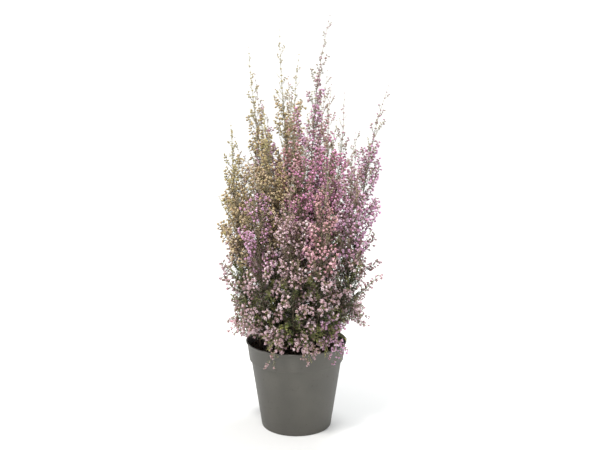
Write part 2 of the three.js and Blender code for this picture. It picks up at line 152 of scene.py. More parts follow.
class Sheet:
    """The node tree of one new material, with a Principled shader ready."""

    def __init__(self, name: str) -> None:
        """Makes the material.

        Args:
            name: the material's name.
        """
        self.material = bpy.data.materials.new(name)
        self.material.use_nodes = True
        self.tree = self.material.node_tree
        self.shader = next(n for n in self.tree.nodes if n.type == "BSDF_PRINCIPLED")

    def node(
        self, kind: str, settings: dict[str, object], sockets: dict[object, object], out: object = 0
    ) -> Signal:
        """Adds a node.

        Args:
            kind: Blender's name of the node type.
            settings: properties, set first; "stops" holds a ramp's positions and colours.
            sockets: values or signals for its inputs, by name or number.
            out: the output that is wanted, by name or number.

        Returns:
            That output.
        """
        made = self.tree.nodes.new(kind)
        for name, value in settings.items():
            if name == "stops":
                self._set_stops(made.color_ramp, value)
            else:
                setattr(made, name, value)
        for name, value in sockets.items():
            self.feed(made.inputs[name], value)
        return Signal(self, made.outputs[out])

    def feed(self, socket: bpy.types.NodeSocket, value: object) -> None:
        """Links a signal to a socket, or sets a number or colour on it.

        Args:
            socket: the input.
            value: a signal, a number or a colour.
        """
        if isinstance(value, Signal):
            self.tree.links.new(value.socket, socket)
        elif isinstance(value, tuple) and len(value) == 3 and socket.type == "RGBA":
            socket.default_value = (*value, 1.0)
        else:
            socket.default_value = value

    @staticmethod
    def _set_stops(ramp: bpy.types.ColorRamp, stops: Sequence[tuple[float, Colour]]) -> None:
        """Gives a colour ramp its stops.

        Args:
            ramp: the ramp, which starts with two stops.
            stops: places from 0 to 1 and their colours.
        """
        while len(ramp.elements) < len(stops):
            ramp.elements.new(1.0)
        for element, (place, colour) in zip(ramp.elements, stops):
            element.position = place
            element.color = (*colour, 1.0)

    def mix(self, share: object, first: object, second: object, blend: str = "MIX") -> Signal:
        """A colour between first and second."""
        settings = {"data_type": "RGBA", "blend_type": blend}
        return self.node("ShaderNodeMix", settings, {0: share, 6: first, 7: second}, 2)

    def ramp(self, tone: Signal, stops: Sequence[tuple[float, Colour]]) -> Signal:
        """The colour at tone on a run of stops."""
        return self.node("ShaderNodeValToRGB", {"stops": stops}, {0: tone})

    def chart(self) -> tuple[Signal, Signal]:
        """Reads the piece's colour chart.

        Returns:
            The tone across the chart, and the place along the shape.
        """
        place = self.node("ShaderNodeUVMap", {"uv_map": CHART}, {})
        tone = self.node("ShaderNodeSeparateXYZ", {}, {0: place})
        return tone, Signal(self, tone.socket.node.outputs["Y"])

    def noise(self, scale: float, detail: float, stretch: tuple[float, float, float] = (1, 1, 1)) -> Signal:
        """Noise over the object's own coordinates.

        Args:
            scale: cycles a metre.
            detail: finer layers on top of the first.
            stretch: how much faster it changes along each axis.

        Returns:
            The noise, 0 to 1.
        """
        place = self.node("ShaderNodeTexCoord", {}, {}, "Object")
        place = self.node("ShaderNodeMapping", {}, {"Vector": place, "Scale": stretch})
        return self.node("ShaderNodeTexNoise", {}, {"Vector": place, "Scale": scale, "Detail": detail})

    def finish(self, **sockets: object) -> bpy.types.Material:
        """Feeds the shader's sockets.

        Args:
            sockets: a value or signal for each, an underscore in the name standing for a space.

        Returns:
            The finished material.
        """
        for name, value in sockets.items():
            self.feed(self.shader.inputs[name.replace("_", " ")], value)
        return self.material

    def bump(self, height: Signal, strength: float, distance: float) -> Signal:
        """A normal from a height in millimetres of relief."""
        sockets = {"Height": height, "Strength": strength, "Distance": distance * MM}
        return self.node("ShaderNodeBump", {}, sockets, "Normal")


@dataclass(frozen=True)
class Band:
    """One finish's stretch of the colour chart, and the number of its material on a piece."""

    low: float
    high: float
    number: int

    def place(self, along: np.ndarray) -> np.ndarray:
        """Place on the chart of a share along a shape."""
        return self.low + (self.high - self.low) * along

    def share(self, place: Signal) -> Signal:
        """The share along a shape, 0 to 1, from its place on the chart."""
        return (place - self.low) * (1 / (self.high - self.low))


# Petals, leaves and stems never share a place on the chart, and none reaches its edge
PETAL = Band(0.02, 0.40, 0)
LEAF = Band(0.44, 0.70, 1)
STEM = Band(0.74, 0.98, 2)
CHART_EDGE = 0.03


class Bloom(Enum):
    """The flower colours of the spires and sprays."""

    LILAC = "lilac"
    MAGENTA = "magenta"
    ROSE = "rose"
    BLUSH = "blush"
    TAN = "tan"


@dataclass(frozen=True)
class PetalFinish:
    """Bells of one colour: its shades run from closed buds over dusk, full and light to the palest bells."""

    shades: Sequence[tuple[int, int, int]]
    places: Sequence[float] = (0.0, 0.22, 0.48, 0.74, 1.0)
    foot_shade: Colour = tint(204, 184, 188)
    foot_end: Range = (0.3, 0.85)
    stalk: Colour = tint(112, 102, 70)
    stalk_end: Range = (0.12, 0.4)
    throat: Colour = tint(84, 44, 58)
    throat_start: Range = (0.86, 0.97)

    def material(self, name: str) -> bpy.types.Material:
        """Colour by tone across the chart; along a bell it runs from stalk to lobes and into the throat.

        Args:
            name: the material's name.

        Returns:
            The material.
        """
        sheet = Sheet(name)
        tone, place = sheet.chart()
        along = PETAL.share(place)
        colour = sheet.ramp(tone, [(where, tint(*shade)) for where, shade in zip(self.places, self.shades)])
        deeper = sheet.mix(1.0, colour, self.foot_shade, "MULTIPLY")
        colour = sheet.mix(along.step(*self.foot_end), deeper, colour)
        colour = sheet.mix(along.step(*self.stalk_end), self.stalk, colour)
        colour = sheet.mix(along.step(*self.throat_start), colour, self.throat)
        return sheet.finish(Base_Color=colour, Roughness=0.5, Specular_IOR_Level=0.35)


# Shades of each flower colour as seen on a screen, 0 to 255 for each part
PETALS = {
    Bloom.LILAC: ((160, 160, 132), (172, 146, 146), (204, 154, 190), (226, 184, 214), (248, 234, 240)),
    Bloom.MAGENTA: ((160, 156, 130), (180, 144, 148), (216, 142, 188), (238, 180, 216), (250, 232, 240)),
    Bloom.ROSE: ((162, 160, 132), (180, 150, 140), (216, 162, 174), (234, 194, 200), (248, 234, 232)),
    # Blush, worn low in the crown by the leafy shoots and most sprays, is held darker: painted shade of the
    # crown
    Bloom.BLUSH: ((156, 154, 122), (164, 142, 126), (184, 154, 158), (208, 182, 188), (240, 226, 228)),
    Bloom.TAN: ((172, 170, 118), (178, 166, 112), (190, 172, 128), (212, 194, 160), (240, 230, 212)),
}


@dataclass(frozen=True)
class LeafFinish:
    """Needle leaves by tone: in the shade, in the light, fresh, and ripe at a shoot's end."""

    shade: Colour = tint(18, 25, 14)
    light: Colour = tint(60, 80, 36)
    fresh: Colour = tint(130, 144, 66)
    ripe: Colour = tint(172, 164, 100)
    tip: Colour = tint(236, 226, 186)
    tip_start: Range = (0.45, 1.0)
    tip_share: float = 0.35

    def material(self, name: str) -> bpy.types.Material:
        """Colour by tone, paler towards the needle's tip.

        Args:
            name: the material's name.

        Returns:
            The material.
        """
        sheet = Sheet(name)
        tone, place = sheet.chart()
        stops = ((0.0, self.shade), (0.35, self.light), (0.7, self.fresh), (1.0, self.ripe))
        colour = sheet.ramp(tone, stops)
        paler = sheet.mix(1.0, colour, self.tip, "SCREEN")
        colour = sheet.mix(LEAF.share(place).step(*self.tip_start) * self.tip_share, colour, paler)
        return sheet.finish(Base_Color=colour, Roughness=0.42, Specular_IOR_Level=0.45)


# The brown needles and bracts among the bells of a flower spike, kept pale: partly painted light of the airy
# top
SEPAL = LeafFinish(tint(58, 50, 40), tint(118, 102, 82), tint(158, 144, 114), tint(184, 174, 130))


@dataclass(frozen=True)
class StemFinish:
    """Stems: grey-brown bark at the foot, young wood darkened with painted shade, then pale wood up to the
    tip.
    """

    bark: Colour = tint(70, 56, 44)
    # Young wood, darker than the bark: painted shade where the stems run inside the crown
    young_in_shade: Colour = tint(66, 58, 42)
    pale: Colour = tint(132, 122, 100)
    tip: Colour = tint(162, 162, 138)
    streak: Colour = tint(176, 158, 128)
    streak_share: float = 0.12
    streak_waves: float = 25.1

    def material(self, name: str) -> bpy.types.Material:
        """Colour by height across the chart, with paler streaks round the stem.

        Args:
            name: the material's name.

        Returns:
            The material.
        """
        sheet = Sheet(name)
        tone, place = sheet.chart()
        colour = sheet.ramp(tone, ((0.0, self.bark), (0.4, self.young_in_shade), (0.66, self.pale), (1.0, self.tip)))
        angle = STEM.share(place) * self.streak_waves
        streak = sheet.node("ShaderNodeMath", {"operation": "SINE"}, {0: angle})
        colour = sheet.mix(streak * self.streak_share + self.streak_share, colour, self.streak)
        return sheet.finish(Base_Color=colour, Roughness=0.7)


@dataclass(frozen=True)
class PotFinish:
    """Warm grey moulded plastic, darkened with painted shade, with faint mottling, a fine grain and specks of
    dust.
    """

    # The grey is held darker than the plastic's own: painted shade of the crown that hangs over the pot
    base: Colour = tint(76, 74, 69)
    light: Colour = tint(84, 82, 76)
    dust: Colour = tint(64, 60, 53)

    def material(self, name: str) -> bpy.types.Material:
        """Grain, mottling and dust over the object's coordinates.

        Args:
            name: the material's name.

        Returns:
            The material.
        """
        sheet = Sheet(name)
        mottle = sheet.noise(28.0, 3.0)
        grain = sheet.noise(2600.0, 2.0)
        specks = sheet.noise(420.0, 3.0)
        colour = sheet.mix(mottle.step(0.3, 0.75), self.base, self.light)
        colour = sheet.mix(specks.step(0.62, 0.74) * 0.35, colour, self.dust)
        rough = 0.48 + mottle * 0.1 + specks.step(0.6, 0.75) * 0.15
        normal = sheet.bump(grain + specks * 0.5, 0.3, 0.05)
        return sheet.finish(Base_Color=colour, Roughness=rough, Normal=normal, Specular_IOR_Level=0.4)


@dataclass(frozen=True)
class PeatFinish:
    """Dark peat with brown crumbs and paler fibres."""

    dark: Colour = tint(34, 25, 19)
    brown: Colour = tint(82, 60, 42)
    fibre: Colour = tint(128, 100, 70)

    def material(self, name: str) -> bpy.types.Material:
        """Brown crumbs in near-black peat, rough all over.

        Args:
            name: the material's name.

        Returns:
            The material.
        """
        sheet = Sheet(name)
        crumbs = sheet.noise(420.0, 5.0)
        fibres = sheet.noise(900.0, 2.0, (1, 0.25, 1))
        colour = sheet.mix(crumbs.step(0.42, 0.72), self.dark, self.brown)
        colour = sheet.mix(fibres.step(0.62, 0.75) * 0.5, colour, self.fibre)
        return sheet.finish(Base_Color=colour, Roughness=0.95, Normal=sheet.bump(crumbs, 0.8, 0.8))


@dataclass(frozen=True)
class BackdropFinish:
    """Pale matt floor running up into a pale wall that glows, less round the pot's foot: a painted shadow."""

    colour: Colour = tint(206, 206, 205)
    cloud: Colour = tint(196, 197, 198)
    # The glow at the pot's foot, dimmer to paint a soft shadow there, the glow further out, and where the
    # painted shadow ends
    painted_shadow_glow: Colour = tint(128, 128, 128)
    far_glow: Colour = tint(255, 255, 255)
    painted_shadow_reach: float = 0.4

    def material(self, name: str) -> bpy.types.Material:
        """Almost even, with a very faint cloudiness; a glow that grows away from the pot paints a shadow at
        its foot.

        Args:
            name: the material's name.

        Returns:
            The material.
        """
        sheet = Sheet(name)
        colour = sheet.mix(sheet.noise(1.2, 2.0) * 0.2, self.colour, self.cloud)
        place = sheet.node("ShaderNodeTexCoord", {}, {}, "Object")
        away = sheet.node("ShaderNodeVectorMath", {"operation": "LENGTH"}, {0: place}, "Value")
        # Painted shadow: the glow is dimmest at the pot's foot
        glow = sheet.mix(away.step(0.0, self.painted_shadow_reach), self.painted_shadow_glow, self.far_glow)
        return sheet.finish(Base_Color=colour, Roughness=0.9, Emission_Color=glow, Emission_Strength=0.5)


# Meshes

@dataclass
class Patch:
    """Triangles of one finish: points in mm, corners by number, and each corner's place on the chart."""

    points: np.ndarray
    corners: np.ndarray
    chart: np.ndarray
    finish: int = 0

    @classmethod
    def plain(cls, points: np.ndarray, corners: np.ndarray) -> "Patch":
        """A patch for a finish that doesn't read the chart."""
        return cls(points, corners, np.zeros((len(corners), 3, 2)))


def spindle(rings: int, sides: int) -> np.ndarray:
    """Triangles of a closed shape of rings between two poles.

    Args:
        rings: how many rings.
        sides: points of each ring.

    Returns:
        Corners by number, (triangles, 3): the first pole is 0, then come the rings, then the last pole.
    """
    side = np.arange(sides)
    after = (side + 1) % sides
    low = 1 + np.arange(rings - 1)[:, None] * sides
    a, b, c, d = low + side, low + after, low + sides + after, low + sides + side
    walls = np.stack([np.stack([a, b, c], -1), np.stack([a, c, d], -1)], -2).reshape(-1, 3)
    foot = np.stack([np.zeros_like(side), 1 + after, 1 + side], -1)
    last = 1 + (rings - 1) * sides
    head = np.stack([last + side, last + after, np.full_like(side, last + sides)], -1)
    return np.concatenate([foot, walls, head])


def copies(points: np.ndarray, corners: np.ndarray, u: np.ndarray, v: np.ndarray, finish: int) -> Patch:
    """Joins n shapes with the same corners.

    Args:
        points: their points, (n, m, 3).
        corners: the corners of one of them, by number.
        u: each point's place across the chart, (n, m).
        v: each point's place up the chart, (m,).
        finish: the material's number on the piece.

    Returns:
        One patch of all of them.
    """
    starts = np.arange(len(points)) * points.shape[1]
    every = corners + starts[:, None, None]
    chart = np.stack([u, np.broadcast_to(v, u.shape)], -1)[:, corners]
    return Patch(points.reshape(-1, 3), every.reshape(-1, 3), chart.reshape(-1, 3, 2), finish)


def across_chart(tones: np.ndarray) -> np.ndarray:
    """Place across the chart of tones from 0 to 1, clear of its edges."""
    return CHART_EDGE + (1 - 2 * CHART_EDGE) * np.clip(tones, 0, 1)


@dataclass
class Shape:
    """A small closed shape along +Z, in mm, with how far across and along it each point lies."""

    points: np.ndarray
    corners: np.ndarray
    across: np.ndarray
    along: np.ndarray

    def placed(
        self, roots: np.ndarray, axes: np.ndarray, scales: np.ndarray, tones: np.ndarray, band: Band
    ) -> Patch:
        """Copies of the shape: each point is root + scale * (axes times the shape's point).

        Args:
            roots: where each copy starts, (n, 3).
            axes: each copy's three directions as columns, (n, 3, 3).
            scales: each copy's size, (n,).
            tones: each copy's place across the chart, 0 to 1.
            band: the finish's band of the chart.

        Returns:
            One patch of all the copies.
        """
        points = roots[:, None] + np.einsum("nij,vj->nvi", axes * scales[:, None, None], self.points)
        u = across_chart(tones)[:, None] + self.across
        return copies(points, self.corners, u, band.place(self.along), band.number)


# Half the width of a shape's sliver of the chart, and a turn that keeps any two neighbours on it apart
ACROSS = 0.006
PHASE = 0.4


def turned_shape(radii: np.ndarray, heights: np.ndarray, poles: Range, along: Sequence[float]) -> Shape:
    """A shape from rings round +Z: ring i has points at radii[i, j] and heights[i, j].

    Args:
        radii: each point's distance from the axis, (rings, sides).
        heights: each point's height, (rings, sides).
        poles: heights of the first and last pole.
        along: place along the shape of the first pole, each ring and the last pole.

    Returns:
        The shape, its chart a sliver as wide as ACROSS.
    """
    rings, sides = radii.shape
    angle = full_turn(sides)
    ring_points = np.stack([radii * np.cos(angle), radii * np.sin(angle), heights], -1).reshape(-1, 3)
    points = np.concatenate([[[0, 0, poles[0]]], ring_points, [[0, 0, poles[1]]]])
    across = np.concatenate([[0], np.tile(ACROSS * np.sin(angle + PHASE), rings), [0]])
    steps = np.concatenate([[along[0]], np.repeat(along[1:-1], sides), [along[-1]]])
    return Shape(points, spindle(rings, sides), across, steps)


# Rings of a bell from foot to mouth: radius, height, and how far the lobes flare out and up
BELL_RINGS = ((0.5, 1.5, 0.0, 0.0), (1.3, 2.5, 0.0, 0.0), (1.28, 3.65, 0.38, 0.42))
BELL_THROAT = 2.3
LOBES = 4

# Rings of a bud: radius and height
BUD_RINGS = ((0.95, 1.6), (0.8, 2.6))
BUD_TIP = 3.2
BUD_SIDES = 5


def bell_shape(stalk: float) -> Shape:
    """An open bell with four flared lobes: r = r0 + flare cos(4 angle), and its mouth runs in to a throat.

    Args:
        stalk: length of its stalk in mm.

    Returns:
        The shape.
    """
    wave = np.cos(LOBES * full_turn(2 * LOBES))
    radius, height, flare, lift = np.array(BELL_RINGS).T[..., None]
    rings = (radius + flare * wave, height + lift * wave + stalk)
    return turned_shape(*rings, (0.0, BELL_THROAT + stalk), (0.0, 0.22, 0.5, 0.82, 1.0))


def bud_shape(stalk: float) -> Shape:
    """A closed bud, fullest half-way out, on a stalk of that length, which below 0 sets it deep."""
    radius, height = np.array(BUD_RINGS).T[..., None] * np.ones(BUD_SIDES)
    return turned_shape(radius, height + stalk, (0.0, BUD_TIP + stalk), (0.0, 0.4, 0.65, 0.8))


def needle_shape(half_width: float = 0.125, keel: float = 0.06, widest: float = 0.4) -> Shape:
    """A keeled needle leaf of length 1: a keel from end to end, and an edge on each side.

    Args:
        half_width: distance of the edges from the middle.
        keel: how far the edges stand behind the keel.
        widest: where along the needle they do so.

    Returns:
        The shape.
    """
    points = np.array([(0, 0, 0), (0, 0, 1), (half_width, keel, widest), (-half_width, keel, widest)])
    corners = np.array([(0, 2, 1), (0, 1, 3), (0, 3, 2), (1, 2, 3)])
    return Shape(points, corners, np.array([0, 0, ACROSS, -ACROSS]), points[:, 2])


# Bells and buds, each short and long, and the needle
BELLS = (bell_shape(0.0), bell_shape(2.2))
BUDS = (bud_shape(-0.6), bud_shape(1.4))
NEEDLE = needle_shape()

# An axis steeper than this, up or down, takes its sideways direction from another axis than +Z
STEEP = 0.9


def bases(axis: np.ndarray, turn: np.ndarray) -> np.ndarray:
    """Three directions for each axis, with the first of them turned round it.

    Args:
        axis: unit vectors, (n, 3).
        turn: a turn in radians for each, (n,).

    Returns:
        Directions as columns, (n, 3, 3), the axis third.
    """
    helper = np.where(np.abs(axis[:, 2:]) < STEEP, (0.0, 0.0, 1.0), (1.0, 0.0, 0.0))
    first = unit(np.cross(helper, axis))
    second = np.cross(axis, first)
    x = first * np.cos(turn)[:, None] + second * np.sin(turn)[:, None]
    return np.stack([x, np.cross(axis, x), axis], -1)


def tubes(paths: np.ndarray, radii: np.ndarray, sides: int, tones: np.ndarray, finish: int) -> Patch:
    """Round tubes along paths, closed at both ends: each ring is its path point + radius * a unit circle.

    Args:
        paths: points of n paths, (n, rings, 3).
        radii: the radius at each of them, (n, rings).
        sides: corners of a ring.
        tones: place across the chart at each of them, (n, rings).
        finish: the material's number on the piece.

    Returns:
        One patch of all the tubes.
    """
    count, rings = radii.shape
    along = unit(np.gradient(paths, axis=1))
    helper = np.where(np.abs(along[:, :1, 2:]) < STEEP, (0.0, 0.0, 1.0), (0.0, 1.0, 0.0))
    side = unit(np.cross(np.broadcast_to(helper, along.shape), along))
    out = np.cross(along, side)
    angle = full_turn(sides)
    spoke = side[:, :, None] * np.cos(angle)[:, None] + out[:, :, None] * np.sin(angle)[:, None]
    walls = (paths[:, :, None] + spoke * radii[:, :, None, None]).reshape(count, -1, 3)
    points = np.concatenate([paths[:, :1], walls, paths[:, -1:]], 1)
    u = np.repeat(across_chart(tones), sides, 1)
    u = np.concatenate([u[:, :1], u, u[:, -1:]], 1)
    turn = np.concatenate([[0], np.tile(0.5 - 0.5 * np.cos(angle + PHASE), rings), [1]])
    return copies(points, spindle(rings, sides), u, STEM.place(turn), finish)


def make_piece(
    name: str, patches: Sequence[Patch], materials: Sequence[bpy.types.Material]
) -> bpy.types.Object:
    """Joins patches into one object at the origin, its mesh in metres.

    Args:
        name: the piece's name.
        patches: its triangles.
        materials: its materials, in the order of the patches' finish numbers.

    Returns:
        The new object.
    """
    starts = np.cumsum([0] + [len(p.points) for p in patches])
    points = np.concatenate([p.points for p in patches]) * MM
    corners = np.concatenate([p.corners + start for p, start in zip(patches, starts)])
    chart = np.concatenate([p.chart for p in patches])
    finish = np.concatenate([np.full(len(p.corners), p.finish) for p in patches])
    mesh = bpy.data.meshes.new(name)
    mesh.vertices.add(len(points))
    mesh.vertices.foreach_set("co", points.astype(np.float32).ravel())
    mesh.loops.add(corners.size)
    mesh.loops.foreach_set("vertex_index", corners.astype(np.int32).ravel())
    mesh.polygons.add(len(corners))
    mesh.polygons.foreach_set("loop_start", np.arange(0, corners.size, 3, dtype=np.int32))
    mesh.polygons.foreach_set("material_index", finish.astype(np.int32))
    mesh.polygons.foreach_set("use_smooth", np.ones(len(corners), bool))
    mesh.uv_layers.new(name=CHART)
    mesh.uv_layers[CHART].uv.foreach_set("vector", chart.astype(np.float32).ravel())
    mesh.update(calc_edges=True)
    mesh.validate()
    for material in materials:
        mesh.materials.append(material)
    piece = bpy.data.objects.new(name, mesh)
    bpy.context.scene.collection.objects.link(piece)
    return piece


def stands_for(piece: bpy.types.Object, node: str) -> None:
    """Makes a piece ride on the root body, in the place of one CAD node.

    Args:
        piece: the piece.
        node: the CAD node that it replaces.
    """
    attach(piece, "root")
    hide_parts(node)
    log.info("%s: %d triangles, for %s", piece.name, len(piece.data.polygons), node)


# Pot and soil

@dataclass
class Pot:
    """The 11 cm grower's pot: a tapered body under a wider collar, with a slim rolled lip."""

    rim_radius: float = RIM_RADIUS
    rim_height: float = RIM_HEIGHT
    collar_height: float = 21.0
    collar_foot_radius: float = 51.3
    body_top_radius: float = NECK_RADIUS
    body_foot_radius: float = 38.3
    wall: float = 1.2
    ease: float = 0.45
    lip: float = 0.8
    lip_arc: tuple[float, float, int] = (-0.35 * np.pi, 0.95 * np.pi, 9)
    under_lip: tuple[Range, Range] = ((1.9, 5.0), (1.5, 3.2))
    inside_lip: Range = (2.3, 2.4)
    inside_step: float = 0.8
    foot_round: float = 1.2
    foot_corner: float = 0.35
    floor_top: float = 3.2
    floor_round: float = 1.0
    foot_ring_radius: float = 32.5
    centre_pad_radius: float = 18.0
    channel_height: float = 2.0
    channel_slope: float = 1.5
    drain_holes: int = 6
    drain_radius: float = 3.5
    drain_sides: int = 24
    drain_margin: float = 1.0
    sharp_edge: float = 32.0
    sides: int = 144

    @property
    def ledge(self) -> float:
        """Height of the step under the collar."""
        return self.rim_height - self.collar_height

    def profile(self) -> np.ndarray:
        """Sets out the wall's section, with an arc for the lip and short slopes for the other edges.

        Returns:
            Radius and height, from the underside's centre round the lip to the floor's centre.
        """
        foot = self.body_foot_radius
        inner_foot = foot - self.wall
        rim = np.array([self.rim_radius, self.rim_height])
        angle = np.linspace(*self.lip_arc)
        arc = rim - self.lip + self.lip * np.stack([np.cos(angle), np.sin(angle)], -1)
        return np.array([
            (self.centre_pad_radius, 0),
            (self.centre_pad_radius + self.channel_slope, self.channel_height),
            (self.foot_ring_radius - self.channel_slope, self.channel_height),
            (self.foot_ring_radius, 0),
            (foot - self.foot_round, 0),
            (foot - self.foot_corner, self.foot_corner),
            (foot, self.foot_round),
            (self.body_top_radius, self.ledge - self.ease),
            (self.body_top_radius + self.ease, self.ledge),
            (self.collar_foot_radius - self.ease, self.ledge),
            (self.collar_foot_radius, self.ledge + self.ease),
            *(rim - np.array(self.under_lip) * self.lip),
            *arc,
            rim - self.inside_lip,
            (self.collar_foot_radius - self.wall, self.ledge + self.wall),
            (self.body_top_radius - self.wall, self.ledge + self.inside_step),
            (inner_foot, self.floor_top + self.floor_round),
            (inner_foot - self.floor_round, self.floor_top),
        ])

    def build(self) -> None:
        """Turns the profile round the axis and cuts the drain holes."""
        radius, height = self.profile().T
        shape = turned_shape(
            np.repeat(radius[:, None], self.sides, 1),
            np.repeat(height[:, None], self.sides, 1),
            (0.0, self.floor_top),
            np.linspace(0, 1, len(radius) + 2),
        )
        wall = Patch.plain(shape.points, shape.corners)
        pot = make_piece("pot_moulded", [wall], [PotFinish().material("pot_plastic")])
        pot.data.uv_layers.remove(pot.data.uv_layers[CHART])
        self._drill(pot)
        pot.data.shade_smooth()
        pot.data.set_sharp_from_angle(angle=math.radians(self.sharp_edge))
        stands_for(pot, "pot")

    def _drill(self, pot: bpy.types.Object) -> None:
        """Cuts the drain holes through the floor, each a round prism taken away.

        Args:
            pot: the pot's piece.
        """
        middle = (self.centre_pad_radius + self.foot_ring_radius) / 2
        where = around(360 * np.arange(self.drain_holes) / self.drain_holes, middle, -self.drain_margin)
        rods = np.stack([where, where + (0, 0, self.floor_top + 2 * self.drain_margin)], 1)
        ends = np.full(rods.shape[:2], self.drain_radius)
        rod = tubes(rods, ends, self.drain_sides, np.zeros_like(ends), 0)
        cutter = make_piece("drain_cutter", [rod], [])
        cut = pot.modifiers.new("drain", "BOOLEAN")
        cut.operation = "DIFFERENCE"
        cut.solver = "EXACT"
        cut.object = cutter
        bpy.context.view_layer.objects.active = pot
        bpy.ops.object.modifier_apply(modifier=cut.name)
        bpy.data.objects.remove(cutter)


@dataclass
class Soil:
    """Peat that fills the pot to 10 mm below the rim, with crumbs and fibres lying on it."""

    pot: Pot
    top: float = SOIL_TOP
    clearance: float = 0.3
    lump: float = 1.4
    crumble: float = 0.45
    sides: int = 96
    rings: int = 26
    crumbs: int = 1500
    crumb_rings: tuple[tuple[float, ...], ...] = ((0.7, 0.95, 0.75, 1.0, 0.8), (-0.4, 0.35))
    crumb_poles: Range = (-0.8, 0.75)
    crumb_size: Range = (0.35, 1.3)
    fibres: int = 170
    fibre_length: Range = (2.0, 7.0)
    fibre_rise: Range = (-0.4, 0.9)
    fibre_bend: float = 0.7
    fibre_radius: float = 0.22
    fibre_lift: float = 0.5
    fibre_steps: int = 4
    fibre_sides: int = 3
    edge_gap: float = 1.5
    fibre_gap: float = 0.6
    seed: int = 7

    def surface(self, x: np.ndarray, y: np.ndarray) -> np.ndarray:
        """Height of the peat: a broad wave, a finer one and a crumbly one over the level.

        Args:
            x: places to the right, in mm.
            y: places to the back, in mm.

        Returns:
            The height at each.
        """
        broad = np.sin(x * 0.21 + 1.3) * np.cos(y * 0.17 - 0.4)
        fine = np.sin(x * 0.53 - y * 0.41 + 2.1)
        crumbly = np.sin(x * 1.9 + 2 * np.sin(y * 1.1)) * np.sin(y * 2.1 + 2 * np.cos(x * 0.9))
        return self.top + self.lump * (0.6 * broad + 0.4 * fine) + self.crumble * crumbly

    @property
    def ledge(self) -> float:
        """Height of the peat's own step, just above the pot's."""
        return self.pot.ledge + self.pot.wall + self.clearance

    @property
    def edge(self) -> float:
        """Works out the radius of the peat's top, just inside the collar's wall.

        Returns:
            The radius.
        """
        slope = (self.pot.rim_radius - self.pot.lip - self.pot.collar_foot_radius) / self.pot.collar_height
        foot = self.pot.collar_foot_radius - self.pot.wall - self.clearance
        return foot + slope * (self.top - self.ledge)

    def body(self) -> Patch:
        """Closes the peat round: its sides follow the pot's wall and its top is the crumbly surface.

        Returns:
            The patch.
        """
        gap = self.clearance
        inset = self.pot.wall + gap
        side = np.array([
            (self.pot.body_foot_radius - inset - self.pot.floor_round, self.pot.floor_top + gap),
            (self.pot.body_top_radius - inset - gap, self.ledge),
            (self.pot.collar_foot_radius - inset, self.ledge + gap),
        ])
        radius = np.concatenate([side[:, 0], self.edge * np.linspace(1, 1 / self.rings, self.rings)])
        radii = np.repeat(radius[:, None], self.sides, 1)
        angle = full_turn(self.sides)
        heights = self.surface(radii * np.cos(angle), radii * np.sin(angle))
        heights[: len(side)] = side[:, 1:]
        middle = float(self.surface(np.zeros(1), np.zeros(1))[0])
        along = np.linspace(0, 1, len(radius) + 2)
        shape = turned_shape(radii, heights, (self.pot.floor_top + gap, middle), along)
        return Patch.plain(shape.points, shape.corners)

    def scatter(self, count: int, rng: np.random.Generator) -> np.ndarray:
        """Spreads points evenly over the peat's top: radius = edge * the root of an even draw.

        Args:
            count: how many.
            rng: the random draws.

        Returns:
            The points, (count, 3).
        """
        radius = (self.edge - self.edge_gap) * np.sqrt(rng.uniform(size=count))
        spots = around(rng.uniform(0, 360, count), radius, 0.0)
        spots[:, 2] = self.surface(spots[:, 0], spots[:, 1])
        return spots

    def lying_crumbs(self, rng: np.random.Generator) -> Patch:
        """Makes the crumbs, which are lumpy spindles of two rings, most of them small.

        Args:
            rng: the random draws.

        Returns:
            One patch of them all.
        """
        lumps, heights = (np.array(numbers) for numbers in self.crumb_rings)
        radii = np.repeat(lumps[None], len(heights), 0)
        along = np.linspace(0, 1, len(heights) + 2)
        crumb = turned_shape(radii, np.repeat(heights[:, None], len(lumps), 1), self.crumb_poles, along)
        axis = unit(rng.normal(size=(self.crumbs, 3)))
        least, more = self.crumb_size
        sizes = least + more * rng.uniform(size=self.crumbs) ** 3
        spots = self.scatter(self.crumbs, rng)
        turned = bases(axis, rng.uniform(*ANY_TURN, self.crumbs))
        return crumb.placed(spots, turned, sizes, np.zeros(self.crumbs), PETAL)

    def lying_fibres(self, rng: np.random.Generator) -> Patch:
        """Makes the fibres, thin tubes along start + way s + bend 4 s (1 - s), kept inside the wall.

        Args:
            rng: the random draws.

        Returns:
            One patch of them all.
        """
        start = self.scatter(self.fibres, rng) + (0, 0, self.fibre_lift)
        bearing, length, rise = (
            rng.uniform(*limits, self.fibres) for limits in ((0, 360), self.fibre_length, self.fibre_rise)
        )
        way = around(bearing, length, rise)
        bend = rng.normal(size=(self.fibres, 3)) * self.fibre_bend
        steps = np.linspace(0, 1, self.fibre_steps)[None, :, None]
        paths = start[:, None] + way[:, None] * steps + bend[:, None] * steps * (1 - steps) * 4
        inward = np.minimum(1, (self.edge - self.fibre_gap) / np.hypot(paths[..., 0], paths[..., 1]))
        paths *= inward[..., None] ** (1, 1, 0)
        thin = np.full(paths.shape[:2], self.fibre_radius)
        return tubes(paths, thin, self.fibre_sides, np.zeros_like(thin), 0)

    def build(self) -> None:
        """Makes the peat and what lies on it as one piece."""
        rng = np.random.default_rng(self.seed)
        patches = [self.body(), self.lying_crumbs(rng), self.lying_fibres(rng)]
        soil = make_piece("peat_fill", patches, [PeatFinish().material("peat")])
        soil.data.uv_layers.remove(soil.data.uv_layers[CHART])
        stands_for(soil, "soil")


# Stems

